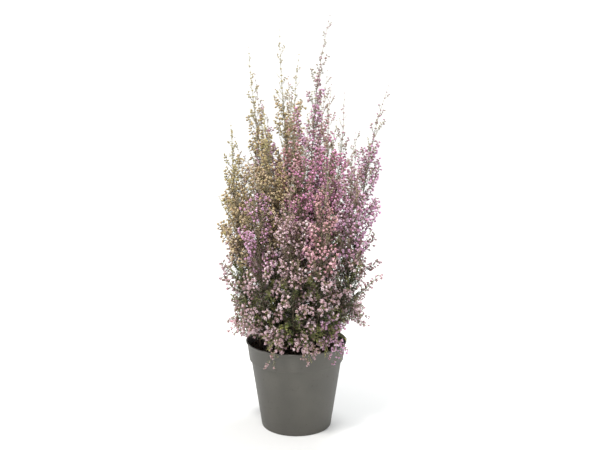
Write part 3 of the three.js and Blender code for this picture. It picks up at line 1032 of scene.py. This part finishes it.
@dataclass
class Stem:
    """One stem that rises from the peat. Its route is a formula over its share, 0 at the peat to 1."""

    number: int
    bearing: float
    bloom: Bloom

    def at(self, share: np.ndarray) -> np.ndarray:
        """Points of the route."""
        raise NotImplementedError

    def route(self, samples: int = 80) -> np.ndarray:
        """Points at even shares of the route."""
        return self.at(np.linspace(0, 1, samples))

    def frame(self, share: np.ndarray) -> tuple[np.ndarray, np.ndarray, np.ndarray, np.ndarray]:
        """Works out the directions at places on the route.

        Args:
            share: the places, from 0 to 1.

        Returns:
            Place, direction along the stem, sideways and outward directions, at each share.
        """
        step = 0.002
        centre = self.at(share)
        along = unit(self.at(np.minimum(share + step, 1)) - self.at(np.maximum(share - step, 0)))
        side = np.broadcast_to(around(self.bearing - 90, 1.0, 0.0), along.shape)
        side = unit(side - along * (side * along).sum(-1, keepdims=True))
        return centre, along, side, np.cross(along, side)

    def length(self, samples: int = 60) -> float:
        """Length of the route."""
        steps = np.diff(self.route(samples), axis=0)
        return float(np.linalg.norm(steps, axis=1).sum())


@dataclass
class Spire(Stem):
    """An upright stem: it spreads from its foot to its waist, then leans on to its tip."""

    reach: float = 45.0
    rise: float = 280.0
    lean: tuple[float, float] = (0.0, 0.0)
    foot_share: float = 0.48
    waist_at: float = 0.34
    lean_from: float = 0.35
    lean_power: float = 1.6
    sway: float = 3.0
    sway_waves: Range = (1.3, 1.1)

    def at(self, share: np.ndarray) -> np.ndarray:
        """Foot + (waist - foot) * S-curve + lean * a late power + a small sway that grows with height.

        Args:
            share: places from 0 at the peat to 1 at the tip.

        Returns:
            Points, with a last axis of 3.
        """
        foot = around(self.bearing, self.reach * self.foot_share, 0.0)
        waist = around(self.bearing, self.reach, 0.0)
        spread = smooth(share / self.waist_at)[..., None]
        late = np.maximum(0, (share - self.lean_from) / (1 - self.lean_from))[..., None] ** self.lean_power
        sway = [
            self.sway * share * np.sin(2 * np.pi * (waves * share + draw(self.number, use)))
            for use, waves in enumerate(self.sway_waves, SWAY_USE)
        ]
        climb = np.stack([*sway, SOIL_TOP + self.rise * share], -1)
        return foot + (waist - foot) * spread + np.array([*self.lean, 0.0]) * late + climb


@dataclass
class Spray(Stem):
    """A low stem that arches out over the rim."""

    reach: float = 80.0
    level: float = 20.0
    arch: float = 20.0
    foot: float = 39.0
    splay: float = 1.5

    def at(self, share: np.ndarray) -> np.ndarray:
        """Radius foot + (reach - foot) s^1.5, height a straight climb + 4 arch s (1 - s).

        Args:
            share: places from 0 at the peat to 1 at the tip.

        Returns:
            Points, with a last axis of 3.
        """
        radius = self.foot + (self.reach - self.foot) * share**self.splay
        climb = RIM_HEIGHT + self.level - SOIL_TOP
        height = SOIL_TOP + climb * share + 4 * self.arch * share * (1 - share)
        return around(self.bearing, radius, height)


# Bearing in degrees, reach and rise in mm, lean to the right and the back in mm, flower colour
SPIRES = (
    (20, 13, 355, (22, -6), Bloom.LILAC),
    (140, 14, 341, (-4, 2), Bloom.TAN),
    (262, 15, 292, (-3, -10), Bloom.ROSE),
    (4, 38, 276, (14, 0), Bloom.MAGENTA),
    (48, 39, 300, (6, 8), Bloom.ROSE),
    (94, 38, 318, (5, 12), Bloom.TAN),
    (139, 39, 296, (-12, 6), Bloom.LILAC),
    (184, 38, 322, (-8, 0), Bloom.TAN),
    (229, 39, 268, (-4, -8), Bloom.TAN),
    (276, 39, 256, (6, -9), Bloom.MAGENTA),
    (321, 38, 284, (8, -4), Bloom.MAGENTA),
    (-6, 62, 283, (35, -6), Bloom.LILAC),
    (26, 63, 226, (12, 8), Bloom.BLUSH),
    (54, 60, 246, (8, 12), Bloom.TAN),
    (86, 63, 232, (-4, 14), Bloom.ROSE),
    (114, 60, 252, (-6, 12), Bloom.LILAC),
    (146, 64, 228, (-14, 8), Bloom.BLUSH),
    (174, 61, 248, (-12, 2), Bloom.TAN),
    (206, 63, 230, (-8, -8), Bloom.TAN),
    (234, 61, 214, (-8, -8), Bloom.LILAC),
    (266, 60, 198, (-2, -8), Bloom.BLUSH),
    (294, 62, 212, (4, -8), Bloom.ROSE),
    (326, 64, 236, (8, -4), Bloom.LILAC),
)

# Bearing in degrees, reach of the tip, its level over the rim and the arch's height in mm, flower colour
SPRAYS = (
    (10, 72, 32, 20, Bloom.BLUSH),
    (40, 70, 22, 26, Bloom.ROSE),
    (70, 68, 36, 18, Bloom.BLUSH),
    (100, 66, 2, 34, Bloom.BLUSH),
    (130, 70, 26, 24, Bloom.LILAC),
    (160, 70, 34, 18, Bloom.BLUSH),
    (190, 67, 8, 32, Bloom.ROSE),
    (220, 69, 20, 24, Bloom.BLUSH),
    (249, 65, -8, 36, Bloom.BLUSH),
    (281, 66, -3, 33, Bloom.BLUSH),
    (310, 65, -6, 35, Bloom.LILAC),
    (341, 74, 30, 20, Bloom.BLUSH),
)

# The sprays are numbered from here, so that their draws differ from the spires'
FIRST_SPRAY = 41


# Foliage

@dataclass
class Shoots:
    """Side shoots of a stem, as arrays of n: each is a curve from its root, out and up to its tip."""

    root: np.ndarray
    away: np.ndarray
    along: np.ndarray
    reach: np.ndarray
    rise: np.ndarray
    share: np.ndarray
    flowering: np.ndarray

    def at(self, owner: np.ndarray, s: np.ndarray) -> np.ndarray:
        """Points on the shoots: root + away * reach * s (1.35 - 0.35 s) + along * rise * s (0.6 + 0.4 s).

        Args:
            owner: which shoot, by number.
            s: place on it, 0 at its root to 1 at its tip.

        Returns:
            The points.
        """
        out = (self.reach[owner] * s * (1.35 - 0.35 * s))[..., None] * self.away[owner]
        up = (self.rise[owner] * s * (0.6 + 0.4 * s))[..., None] * self.along[owner]
        return self.root[owner] + out + up

    def heading(self, owner: np.ndarray, s: np.ndarray, step: float = 0.02) -> np.ndarray:
        """Direction of the shoots at s."""
        return unit(self.at(owner, s + step) - self.at(owner, s - step))

    def spaced(self, gap: float, low: float, high: float) -> tuple[np.ndarray, np.ndarray, np.ndarray]:
        """Sets out places along every shoot.

        Args:
            gap: distance from one to the next, in mm.
            low: where on a shoot they start, from 0 to 1.
            high: where they end.

        Returns:
            Whose each place is, where on the shoot it lies, and how many come before it there.
        """
        length = np.hypot(self.reach, self.rise) * (high - low)
        counts = np.maximum(1, np.round(length / gap)).astype(int)
        owner = np.repeat(np.arange(len(counts)), counts)
        order = np.arange(len(owner)) - np.repeat(np.cumsum(counts) - counts, counts)
        return owner, low + (high - low) * (order + 0.5) / counts[owner], order

    def shorten(self, room: Callable[[np.ndarray], np.ndarray], times: int = 9, cut: float = 0.86) -> None:
        """Shortens each shoot until its tip has room.

        Args:
            room: tells for points which of them have room.
            times: how often a shoot may be cut.
            cut: what a cut leaves of it.
        """
        everyone = np.arange(len(self.root))
        for _ in range(times):
            shrink = np.where(room(self.at(everyone, np.ones(len(everyone)))), 1.0, cut)
            self.reach = self.reach * shrink
            self.rise = self.rise * shrink


def read(curve: Curve, at: np.ndarray) -> np.ndarray:
    """Straight lines between the points of a curve."""
    places, values = zip(*curve)
    return np.interp(at, places, values)


@dataclass(frozen=True)
class Habit:
    """How a stem grows. Curves are read over its share of height and gaps are in mm.

    Outline is how far side shoots reach out, crowding how close they stand, steepness how far they rise for
    their reach, bells the share of them that flowers, and openness the share of bells that are open.
    """

    outline: Curve
    crowding: Curve
    steepness: Curve
    bells: Curve
    openness: Curve
    petal_tone: Curve
    shoot_gap: float = 2.6
    bell_gap: float = 0.9
    needle_gap: float = 2.1
    long_share: float = 0.17
    long_rise: float = 1.5
    reach_draw: Range = (0.5, 1.06)
    rise_draw: Range = (0.65, 1.35)
    tuft_waves: Range = (24.0, 40.0)
    tuft_reach: float = 0.25
    tuft_bells: float = 0.55


SPIRE_HABIT = Habit(
    outline=(
        (0, 5), (0.1, 15), (0.25, 20), (0.42, 19), (0.6, 15), (0.78, 8.5), (0.88, 5.5), (0.95, 4), (1, 1.5)
    ),
    crowding=((0, 0.8), (0.08, 1.25), (0.35, 1.2), (0.6, 1.08), (0.78, 0.64), (0.9, 0.36), (1, 0.3)),
    steepness=((0, 0.6), (0.2, 0.75), (0.4, 1.2), (0.6, 1.6), (1, 1.7)),
    bells=((0, 0.05), (0.12, 0.2), (0.25, 0.42), (0.42, 0.74), (0.6, 0.92), (0.8, 0.8), (1, 0.7)),
    openness=((0, 0.7), (0.4, 0.5), (0.6, 0.3), (0.75, 0.1), (0.85, 0.0)),
    # Low down the bells' tone is held below their palest: painted shade of the crown over them. Higher up
    # they turn to buds
    petal_tone=(
        (0, 0.66), (0.25, 0.68), (0.42, 0.66), (0.56, 0.62), (0.68, 0.46), (0.8, 0.22), (0.88, 0.08), (1, 0)
    ),
)
SPRAY_HABIT = Habit(
    outline=((0, 4), (0.2, 10), (0.45, 14.5), (0.75, 13.5), (1, 6)),
    crowding=((0, 0.6), (0.15, 1), (1, 1)),
    steepness=((0, 1), (1, 1)),
    bells=((0, 0.1), (0.25, 0.25), (0.5, 0.55), (1, 0.7)),
    openness=((0, 0.7), (1, 0.55)),
    # The sprays' bells hang low under the crown, their tone held down: painted shade
    petal_tone=((0, 0.7), (1, 0.64)),
    shoot_gap=1.7,
)


@dataclass(frozen=True)
class Stretch:
    """What one piece of a stem carries: places are shares of the stem's height, lengths are in mm.

    The field bells_from is where on a side shoot bells begin, and bare_tip_from is where the bare tip starts.
    """

    name: str
    habit: Habit
    shoots: Range
    wood: Range
    bells_from: float
    bell_size: float
    needle: float
    stem_needle: float
    stem_needle_gap: float
    stem_needles_to: float
    bare_tip_from: float | None = None


# Where a spire's leafy part ends and its flowering part starts
SPLIT = 0.4
LEAFY_SHOOT = Stretch(
    "leafy_shoot", SPIRE_HABIT, shoots=(0.05, SPLIT), wood=(0.0, SPLIT), bells_from=0.4, bell_size=1.1,
    needle=5.0, stem_needle=6.0, stem_needle_gap=1.6, stem_needles_to=SPLIT,
)
FLOWER_SPIKE = Stretch(
    "flower_spike", SPIRE_HABIT, shoots=(SPLIT, 0.96), wood=(SPLIT, 0.99), bells_from=0.3, bell_size=1.06,
    needle=4.0, stem_needle=4.2, stem_needle_gap=2.3, stem_needles_to=0.84, bare_tip_from=0.82,
)
LOW_SPRAY = Stretch(
    "low_spray", SPRAY_HABIT, shoots=(0.08, 1.0), wood=(0.0, 1.0), bells_from=0.3, bell_size=1.08,
    needle=4.8, stem_needle=4.2, stem_needle_gap=2.2, stem_needles_to=1.0,
)

# Curves over the share of height: lengths and sizes as shares of the full ones, radii in mm
NEEDLE_LENGTH = ((0, 1), (0.72, 1), (0.9, 0.6), (1, 0.5))
STEM_NEEDLE_LENGTH = ((0, 1), (0.72, 1), (0.84, 0.6))
BELL_SIZE = ((0, 1), (0.7, 1), (1, 0.6))
LONG_STALKS = ((0, 0.6), (0.6, 0.5), (0.8, 0.1), (1, 0))
SHOOT_THICKNESS = ((0, 1), (0.6, 0.8), (0.8, 0.5), (1, 0.4))
STEM_RADIUS = ((0, 1.3), (0.15, 0.9), (0.4, 0.65), (0.8, 0.3), (1, 0.14))

# Needles stand in whorls: how many, the turn between them, and where on a side shoot the whorls begin. From
# the last place on, every other whorl of a flowering shoot gives way to its bells
WHORL = 3
WHORL_TURN = 2.094
WHORLS_FROM = 0.1
FEWER_FROM = 0.5

# Small buds in whorls on a bare tip: how many, where the last whorl stands, sizes of the first and the last
BUD_WHORL = 4
LAST_BUD_WHORL = 0.995
BUD_WHORL_SIZES = (0.75, 0.4)

# Limits of random draws: a side shoot's place in its own gap and its turn off the golden angle, a needle's
# turn, lean and size, a bell's lift along its shoot and its size, and a tip bud's lean, size and tone
SHOOT_PLACE = (0.1, 0.9)
SHOOT_TWIST = (-0.4, 0.4)
NEEDLE_TWIST = (-0.2, 0.2)
NEEDLE_LEAN = (0.55, 1.1)
NEEDLE_SIZES = (0.75, 1.15)
BELL_LIFT = (0.25, 0.75)
BELL_SIZES = (0.78, 1.12)
TIP_BUD_LEAN = (0.6, 1.1)
TIP_BUD_SIZES = (0.8, 1.2)
TIP_BUD_TONES = (0, 0.3)

# A leaf's tone, its place across the chart: at a stem's foot, low enough to paint shade into the crown's
# foot; how much riper it is at the tip and on a tan spire; how it runs along a side shoot from painted shade
# near the stem to riper at its end, and where it crosses; the painted shade on the stem's own needles; its
# light on a plain shoot
FOOT_TONE = 0.2
TIP_RIPENESS = 0.5
TAN_RIPENESS = 0.2
SHOOT_SHADE_AND_RIPENESS = 1.05
SHADE_TO_RIPE_AT = 0.64
STEM_SHADE = 0.32
PLAIN_LIGHT = 0.26
LEAF_NOISE = 0.1

# Bells on a side shoot: the last place, the place where they are full, their chance to grow at the first
# place and what it gains up to there, and how far round a shoot they start for its share of height
BELLS_TO = 1.02
BELLS_FULL_AT = 0.75
FIRST_CHANCE = 0.15
CHANCE_GAIN = 0.83
BELL_START = 900
BELL_DROOP = (0, 0, 0.25)
BELL_SCATTER = 0.2

# A bell's tone: how much it varies from shoot to shoot and from bell to bell, and how it runs from painted
# shade near the stem to lighter near a shoot's end, and where it crosses
SHOOT_NOISE = 0.09
BELL_NOISE = 0.14
SHADE_TO_LIGHT_GAIN = 0.3
SHADE_TO_LIGHT_AT = 0.85

# Wood: a side shoot's radius at its root and how much it loses, its rings and sides, and its tone at a
# stem's foot with what it gains up the stem and along the shoot, the gain along the shoot painting shade near
# the stem; then a stem's ring in mm and its sides
SHOOT_RADIUS = 0.42
SHOOT_TAPER = 0.24
SHOOT_RINGS = 4
SHOOT_SIDES = 3
SHOOT_TONES = (0.3, 0.5, 0.08)
STEM_RING = 6
STEM_SIDES = 7

# What a side shoot keeps clear of: the pot, the peat with its crumbs, and the space round another stem
PEAT_REACH = 51.0
CRUMB_TOP = SOIL_TOP + 1.5
CLEARANCE = 2.0
SHARED_SPACE = 9.0


def distance(points: np.ndarray, route: np.ndarray) -> np.ndarray:
    """Distance from each point to the nearest point of a route."""
    return np.linalg.norm(points[:, None] - route[None], axis=-1).min(1)


@dataclass
class Foliage:
    """What grows on one stretch of a stem: side shoots with needles and bells, and needles on the stem."""

    stem: Stem
    neighbours: Sequence[np.ndarray]
    stretch: Stretch
    habit: Habit = field(init=False)
    low: float = field(init=False)
    high: float = field(init=False)
    rng: np.random.Generator = field(init=False)
    shoots: Shoots = field(init=False)

    def __post_init__(self) -> None:
        """Seeds the draws from the stem's number and the stretch, and sets out the side shoots."""
        self.habit = self.stretch.habit
        self.low, self.high = self.stretch.shoots
        self.rng = np.random.default_rng(1000 * self.stem.number + int(100 * self.low))
        self.shoots = self._side_shoots()

    def patches(self) -> list[Patch]:
        """Makes all that grows on the stretch.

        Returns:
            Its patches, in the order in which their random draws are made.
        """
        made = self.bells()
        if self.stretch.bare_tip_from is not None:
            made.append(self.tip_whorls(self.stretch.bare_tip_from))
        return [*made, self.needles(), self.stem_needles(), self.shoot_wood(), self.stem_wood()]

    def spread(self, limits: Range, count: int) -> np.ndarray:
        """Even draws between two limits."""
        return self.rng.uniform(*limits, count)

    def room(self, points: np.ndarray) -> np.ndarray:
        """Tests points for room.

        Args:
            points: the points, (n, 3).

        Returns:
            True where a point is off the pot and the peat, and hardly nearer another stem than its own.
        """
        radius = np.hypot(points[:, 0], points[:, 1])
        beside_wall = np.maximum(np.maximum(NECK_RADIUS - radius, radius - RIM_RADIUS), 0)
        off_wall = np.hypot(beside_wall, np.maximum(points[:, 2] - RIM_HEIGHT, 0))
        off_soil = np.hypot(np.maximum(radius - PEAT_REACH, 0), np.maximum(points[:, 2] - CRUMB_TOP, 0))
        own_gap = distance(points, self.stem.route())
        other_gap = np.min([distance(points, route) for route in self.neighbours], axis=0)
        return (np.minimum(off_wall, off_soil) > CLEARANCE) & (other_gap > own_gap - SHARED_SPACE)

    def _shares(self, samples: int = 200) -> np.ndarray:
        """Sets out the side shoots: as close as the gap where crowding is 1, further apart below that.

        Args:
            samples: places where the crowding is read.

        Returns:
            The share of the stem's height at which each starts.
        """
        grid = np.linspace(self.low, self.high, samples)
        density = read(self.habit.crowding, grid) * self.stem.length() / self.habit.shoot_gap
        total = np.concatenate([[0], np.cumsum((density[1:] + density[:-1]) / 2 * np.diff(grid))])
        count = max(3, round(total[-1]))
        places = (np.arange(count) + self.spread(SHOOT_PLACE, count)) / count * total[-1]
        return np.interp(places, total, grid)

    def _side_shoots(self) -> Shoots:
        """Grows ascending shoots, each a golden angle on from the last; one in six is longer and steeper.

        Returns:
            The shoots, cut short where they have no room.
        """
        share = self._shares()
        count = len(share)
        centre, along, side, out = self.stem.frame(share)
        phase = 2 * np.pi * draw(self.stem.number, TURN_USE)
        turn = GOLDEN_TURN * np.arange(count) + self.spread(SHOOT_TWIST, count) + phase
        away = side * np.cos(turn)[:, None] + out * np.sin(turn)[:, None]
        tufts = self.tufts(share, turn)
        full = read(self.habit.outline, share) * self.spread(self.habit.reach_draw, count)
        reach = full * (1 + self.habit.tuft_reach * tufts)
        longer = np.where(self.rng.uniform(size=count) < self.habit.long_share, self.habit.long_rise, 1.0)
        steepness = read(self.habit.steepness, share)
        rise = reach * steepness * self.spread(self.habit.rise_draw, count) * longer
        bells = read(self.habit.bells, share) + self.habit.tuft_bells * tufts
        made = Shoots(centre, away, along, reach, rise, share, self.rng.uniform(size=count) < bells)
        made.shorten(self.room)
        return made

    def tufts(self, share: np.ndarray, turn: np.ndarray) -> np.ndarray:
        """Sets out tufts round the stem as two waves that climb it in opposite spirals.

        Args:
            share: places up the stem.
            turn: places round it, in radians.

        Returns:
            From -1 in a hollow to 1 on a tuft.
        """
        climb = 2 * np.pi * self.stem.length() * share
        phase = 2 * np.pi * draw(self.stem.number, TUFT_USE)
        up, down = self.habit.tuft_waves
        return 0.5 * np.sin(climb / up + turn + phase) + 0.5 * np.sin(climb / down - turn + 2 * phase)

    def leaf_tone(self, share: np.ndarray) -> np.ndarray:
        """Darker green low down, painting the shade of the crown's foot, riper towards the tip, and riper
        still on a tan spire.
        """
        ripe = TAN_RIPENESS if self.stem.bloom is Bloom.TAN else 0.0
        return FOOT_TONE + TIP_RIPENESS * share + ripe

    def whorls(self, roots: np.ndarray, heading: np.ndarray, tones: np.ndarray, lengths: np.ndarray) -> Patch:
        """Makes whorls of three needles, each leaning out from its heading.

        Args:
            roots: where each whorl stands, (n, 3).
            heading: the direction of the stem there, (n, 3).
            tones: place of its needles across the chart, (n,).
            lengths: their length in mm, (n,).

        Returns:
            One patch of all the needles.
        """
        starts = np.repeat(self.spread(ANY_TURN, len(roots)), WHORL)
        turn = starts + np.tile(np.arange(WHORL) * WHORL_TURN, len(roots))
        roots = np.repeat(roots, WHORL, 0)
        heading = np.repeat(heading, WHORL, 0)
        count = len(roots)
        basis = bases(heading, turn + self.spread(NEEDLE_TWIST, count))
        lean = self.spread(NEEDLE_LEAN, count)[:, None]
        axis = unit(basis[:, :, 0] * np.sin(lean) + heading * np.cos(lean))
        tone = np.repeat(tones, WHORL) + self.rng.normal(0, LEAF_NOISE, count)
        scales = np.repeat(lengths, WHORL) * self.spread(NEEDLE_SIZES, count)
        return NEEDLE.placed(roots, bases(axis, np.zeros(count)), scales, tone, LEAF)

    def needles(self) -> Patch:
        """Grows needles along every side shoot, fewer and darker where it flowers, darker near the stem with
        painted shade.

        Returns:
            One patch of them all.
        """
        owner, s, order = self.shoots.spaced(self.habit.needle_gap, WHORLS_FROM, 1.0)
        kept = ~self.shoots.flowering[owner] | (s < FEWER_FROM) | (order % 2 == 0)
        owner, s = owner[kept], s[kept]
        share = self.shoots.share[owner]
        # Painted shade: needles near the stem are darker, those towards a shoot's end riper
        shade_and_ripening = (SHOOT_SHADE_AND_RIPENESS - TIP_RIPENESS * share) * (s - SHADE_TO_RIPE_AT)
        tones = self.leaf_tone(share) + shade_and_ripening + PLAIN_LIGHT * ~self.shoots.flowering[owner]
        lengths = self.stretch.needle * read(NEEDLE_LENGTH, share)
        return self.whorls(self.shoots.at(owner, s), self.shoots.heading(owner, s), tones, lengths)

    def stem_needles(self) -> Patch:
        """Grows needles on the stem itself, darker with painted shade inside the crown.

        Returns:
            One patch of them all.
        """
        high = self.stretch.stem_needles_to
        count = max(3, round(self.stem.length() * (high - self.low) / self.stretch.stem_needle_gap))
        share = np.linspace(self.low, high, count)
        centre, along, _, _ = self.stem.frame(share)
        lengths = self.stretch.stem_needle * read(STEM_NEEDLE_LENGTH, share)
        # The stem's own needles are darker: painted shade inside the crown
        return self.whorls(centre, along, self.leaf_tone(share) - STEM_SHADE, lengths)

    def shoot_wood(self) -> Patch:
        """Makes the side shoots' own thin stems.

        Returns:
            One patch of them all.
        """
        s = np.linspace(0, 1, SHOOT_RINGS)[None] * np.ones((len(self.shoots.root), 1))
        owner = np.arange(len(self.shoots.root))[:, None] + np.zeros((1, SHOOT_RINGS), int)
        share = self.shoots.share[owner]
        radii = (SHOOT_RADIUS - SHOOT_TAPER * s) * read(SHOOT_THICKNESS, share)
        foot, up, out = SHOOT_TONES
        return tubes(self.shoots.at(owner, s), radii, SHOOT_SIDES, foot + up * share + out * s, STEM.number)

    def stem_wood(self) -> Patch:
        """Makes the stretch of the stem itself, round and tapering.

        Returns:
            One patch.
        """
        low, high = self.stretch.wood
        share = np.linspace(low, high, max(6, round(self.stem.length() * (high - low) / STEM_RING)))
        radii = read(STEM_RADIUS, share)
        return tubes(self.stem.at(share)[None], radii[None], STEM_SIDES, share[None], STEM.number)

    def bells(self) -> list[Patch]:
        """Makes open bells and closed buds round the side shoots, most of them near the tips.

        Returns:
            Short and long bells, then short and long buds.
        """
        start = self.stretch.bells_from
        owner, s, order = self.shoots.spaced(self.habit.bell_gap, start, BELLS_TO)
        filling = smooth((s - start) / (BELLS_FULL_AT - start))
        chance = self.shoots.flowering[owner] * (FIRST_CHANCE + CHANCE_GAIN * filling)
        kept = self.rng.uniform(size=len(owner)) < chance
        owner, s, order = owner[kept], s[kept], order[kept]
        share = self.shoots.share[owner]
        count = len(owner)
        heading = self.shoots.heading(owner, s)
        basis = bases(heading, GOLDEN_TURN * order + BELL_START * share)
        lift = self.spread(BELL_LIFT, count)[:, None]
        scatter = self.rng.normal(0, BELL_SCATTER, (count, 3))
        axis = unit(basis[:, :, 0] + heading * lift + scatter - BELL_DROOP)
        branch = self.rng.normal(0, SHOOT_NOISE, len(self.shoots.root))
        tone = read(self.habit.petal_tone, share) + branch[owner] + self.rng.normal(0, BELL_NOISE, count)
        # Painted shade: darker bells near the stem, lighter ones near a shoot's end
        tone += SHADE_TO_LIGHT_GAIN * (s - SHADE_TO_LIGHT_AT)
        scales = self.stretch.bell_size * self.spread(BELL_SIZES, count) * read(BELL_SIZE, share)
        axes = bases(axis, self.spread(ANY_TURN, count))
        is_open = self.rng.uniform(size=count) < read(self.habit.openness, share)
        is_long = self.rng.uniform(size=count) < read(LONG_STALKS, share)
        roots = self.shoots.at(owner, s)
        return [
            shape.placed(roots[mask], axes[mask], scales[mask], tone[mask], PETAL)
            for shapes, opened in ((BELLS, is_open), (BUDS, ~is_open))
            for shape, mask in zip(shapes, (opened & ~is_long, opened & is_long))
        ]

    def tip_whorls(self, start: float, gap: float = 6.0) -> Patch:
        """Makes whorls of four small buds on the bare tip, spread like the ribs of a shallow cone.

        Args:
            start: share of the height where they begin.
            gap: distance from one whorl to the next, in mm.

        Returns:
            One patch of them all.
        """
        count = round(self.stem.length() * (1 - start) / gap)
        centre, along, _, _ = self.stem.frame(np.linspace(start, LAST_BUD_WHORL, count))
        centre = np.repeat(centre, BUD_WHORL, 0)
        along = np.repeat(along, BUD_WHORL, 0)
        starts = np.repeat(self.spread(ANY_TURN, count), BUD_WHORL)
        turn = starts + np.tile(full_turn(BUD_WHORL), count)
        lean = self.spread(TIP_BUD_LEAN, len(turn))[:, None]
        axis = unit(bases(along, turn)[:, :, 0] * np.sin(lean) + along * np.cos(lean))
        smaller = np.repeat(np.linspace(*BUD_WHORL_SIZES, count), BUD_WHORL)
        scales = smaller * self.spread(TIP_BUD_SIZES, len(turn))
        tones = self.spread(TIP_BUD_TONES, len(turn))
        return BUDS[0].placed(centre, bases(axis, turn), scales, tones, PETAL)


class Plant:
    """The heather: upright spires in two parts each, leafy below and flowering above, and low sprays."""

    def __init__(self) -> None:
        """Sets out the stems, whose numbers also seed their draws, and mixes the materials."""
        self.spires = [
            Spire(number, bearing, bloom, reach=reach, rise=rise, lean=lean)
            for number, (bearing, reach, rise, lean, bloom) in enumerate(SPIRES, 1)
        ]
        self.sprays = [
            Spray(number, bearing, bloom, reach=reach, level=level, arch=arch)
            for number, (bearing, reach, level, arch, bloom) in enumerate(SPRAYS, FIRST_SPRAY)
        ]
        self.routes = {stem.number: stem.route() for stem in [*self.spires, *self.sprays]}
        self.petals = {bloom: PetalFinish(PETALS[bloom]).material(f"petals_{bloom.value}") for bloom in Bloom}
        self.leaf = LeafFinish().material("needle_leaf")
        self.sepal = SEPAL.material("sepal_leaf")
        self.wood = StemFinish().material("stem_bark")

    def grow(self, stem: Stem, number: int, stretch: Stretch) -> None:
        """Makes one piece with petals, leaves and wood, in the place of one node.

        Args:
            stem: the stem it belongs to.
            number: its number among the pieces of its kind.
            stretch: what it carries.
        """
        others = [route for key, route in self.routes.items() if key != stem.number]
        patches = Foliage(stem, others, stretch).patches()
        is_leafy = stretch is LEAFY_SHOOT
        # Leafy shoots wear the blush bells, held darker with painted shade
        petals = self.petals[Bloom.BLUSH if is_leafy else stem.bloom]
        leaf = self.sepal if stretch is FLOWER_SPIKE else self.leaf
        piece = make_piece(f"{stretch.name}_fine_{number:02d}", patches, [petals, leaf, self.wood])
        stands_for(piece, f"{stretch.name}_{number:02d}")

    def build(self) -> None:
        """Makes every stem's pieces."""
        for number, stem in enumerate(self.spires, 1):
            self.grow(stem, number, LEAFY_SHOOT)
            self.grow(stem, number, FLOWER_SPIKE)
        for number, stem in enumerate(self.sprays, 1):
            self.grow(stem, number, LOW_SPRAY)


# Studio

def look_along(way: np.ndarray) -> tuple[float, float, float]:
    """Turns that point an object's -Z along a direction, with its top up."""
    flat = math.hypot(way[0], way[1])
    return (math.atan2(flat, -way[2]), 0.0, math.atan2(-way[0], way[1]))


@dataclass
class Studio:
    """A pale round floor that curves up into a wall on every side, soft lights and the camera, in metres."""

    floor_radius: float = 2.2
    floor_rings: int = 14
    first_ring: float = 0.05
    curve: float = 1.0
    curve_rings: int = 12
    wall_height: float = 1.6
    sides: int = 96
    sky: tuple[float, float, float, float] = (0.93, 0.96, 1.0, 1.0)
    sky_strength: float = 0.15
    camera_place: tuple[float, float, float] = (0.0, -0.817, 0.353)
    camera_aim: tuple[float, float, float] = (0.004, 0.0, 0.222)
    lens: float = 46.5

    def backdrop(self) -> None:
        """Floor and wall in one: a disc, a quarter circle and an upright stretch turned round the axis."""
        bend = np.linspace(0, np.pi / 2, self.curve_rings)[1:]
        flat = np.linspace(self.first_ring, self.floor_radius, self.floor_rings)
        edge = self.floor_radius + self.curve
        radius = np.concatenate([flat, self.floor_radius + self.curve * np.sin(bend), [edge]])
        height = np.concatenate([0 * flat, self.curve * (1 - np.cos(bend)), [self.curve + self.wall_height]])
        rings = around(360 * np.arange(self.sides) / self.sides, radius[:, None], height[:, None])
        points = np.concatenate([[[0, 0, 0]], rings.reshape(-1, 3)]) / MM
        corners = spindle(len(radius), self.sides)
        corners = corners[(corners < len(points)).all(1)][:, ::-1]
        floor = make_piece("floor", [Patch.plain(points, corners)], [BackdropFinish().material("backdrop")])

    def aimed(self, name: str, data: bpy.types.ID, place: tuple[float, float, float]) -> bpy.types.Object:
        """Stands a light or the camera in the scene, facing the camera's aim.

        Args:
            name: the object's name.
            data: the light or the camera.
            place: where it stands.

        Returns:
            The new object.
        """
        made = bpy.data.objects.new(name, data)
        made.location = place
        made.rotation_euler = look_along(np.array(self.camera_aim) - place)
        bpy.context.scene.collection.objects.link(made)
        return made

    def light(
        self, name: str, place: tuple[float, float, float], size: float, power: float, colour: Colour
    ) -> None:
        """Adds a round soft light.

        Args:
            name: its name.
            place: where it stands.
            size: its width.
            power: its power in watts.
            colour: its colour.
        """
        lamp = bpy.data.lights.new(name, "AREA")
        lamp.shape = "DISK"
        lamp.size = size
        lamp.energy = power
        lamp.color = colour
        self.aimed(name, lamp, place)

    def build(self) -> None:
        """Sets the stage, the lights and the camera, a little above the plant's middle."""
        self.backdrop()
        self.light("key", (-0.45, -0.8, 2.0), 0.4, 50.0, (1.0, 0.99, 0.97))
        self.light("top", (0.4, 0.5, 1.9), 0.7, 34.0, (0.97, 0.99, 1.0))
        world = bpy.data.worlds.new("pale_sky")
        world.use_nodes = True
        back = world.node_tree.nodes["Background"]
        back.inputs["Color"].default_value = self.sky
        back.inputs["Strength"].default_value = self.sky_strength
        bpy.context.scene.world = world
        bpy.context.scene.view_settings.view_transform = "Standard"
        camera = bpy.data.cameras.new("camera")
        camera.lens = self.lens
        bpy.context.scene.camera = self.aimed("camera", camera, self.camera_place)


def main() -> None:
    """Builds the studio, the pot, the peat and the plant."""
    logging.basicConfig(level=logging.INFO, format="%(name)s: %(message)s")
    Studio().build()
    pot = Pot()
    pot.build()
    Soil(pot).build()
    Plant().build()


if __name__ == "__main__":
    main()
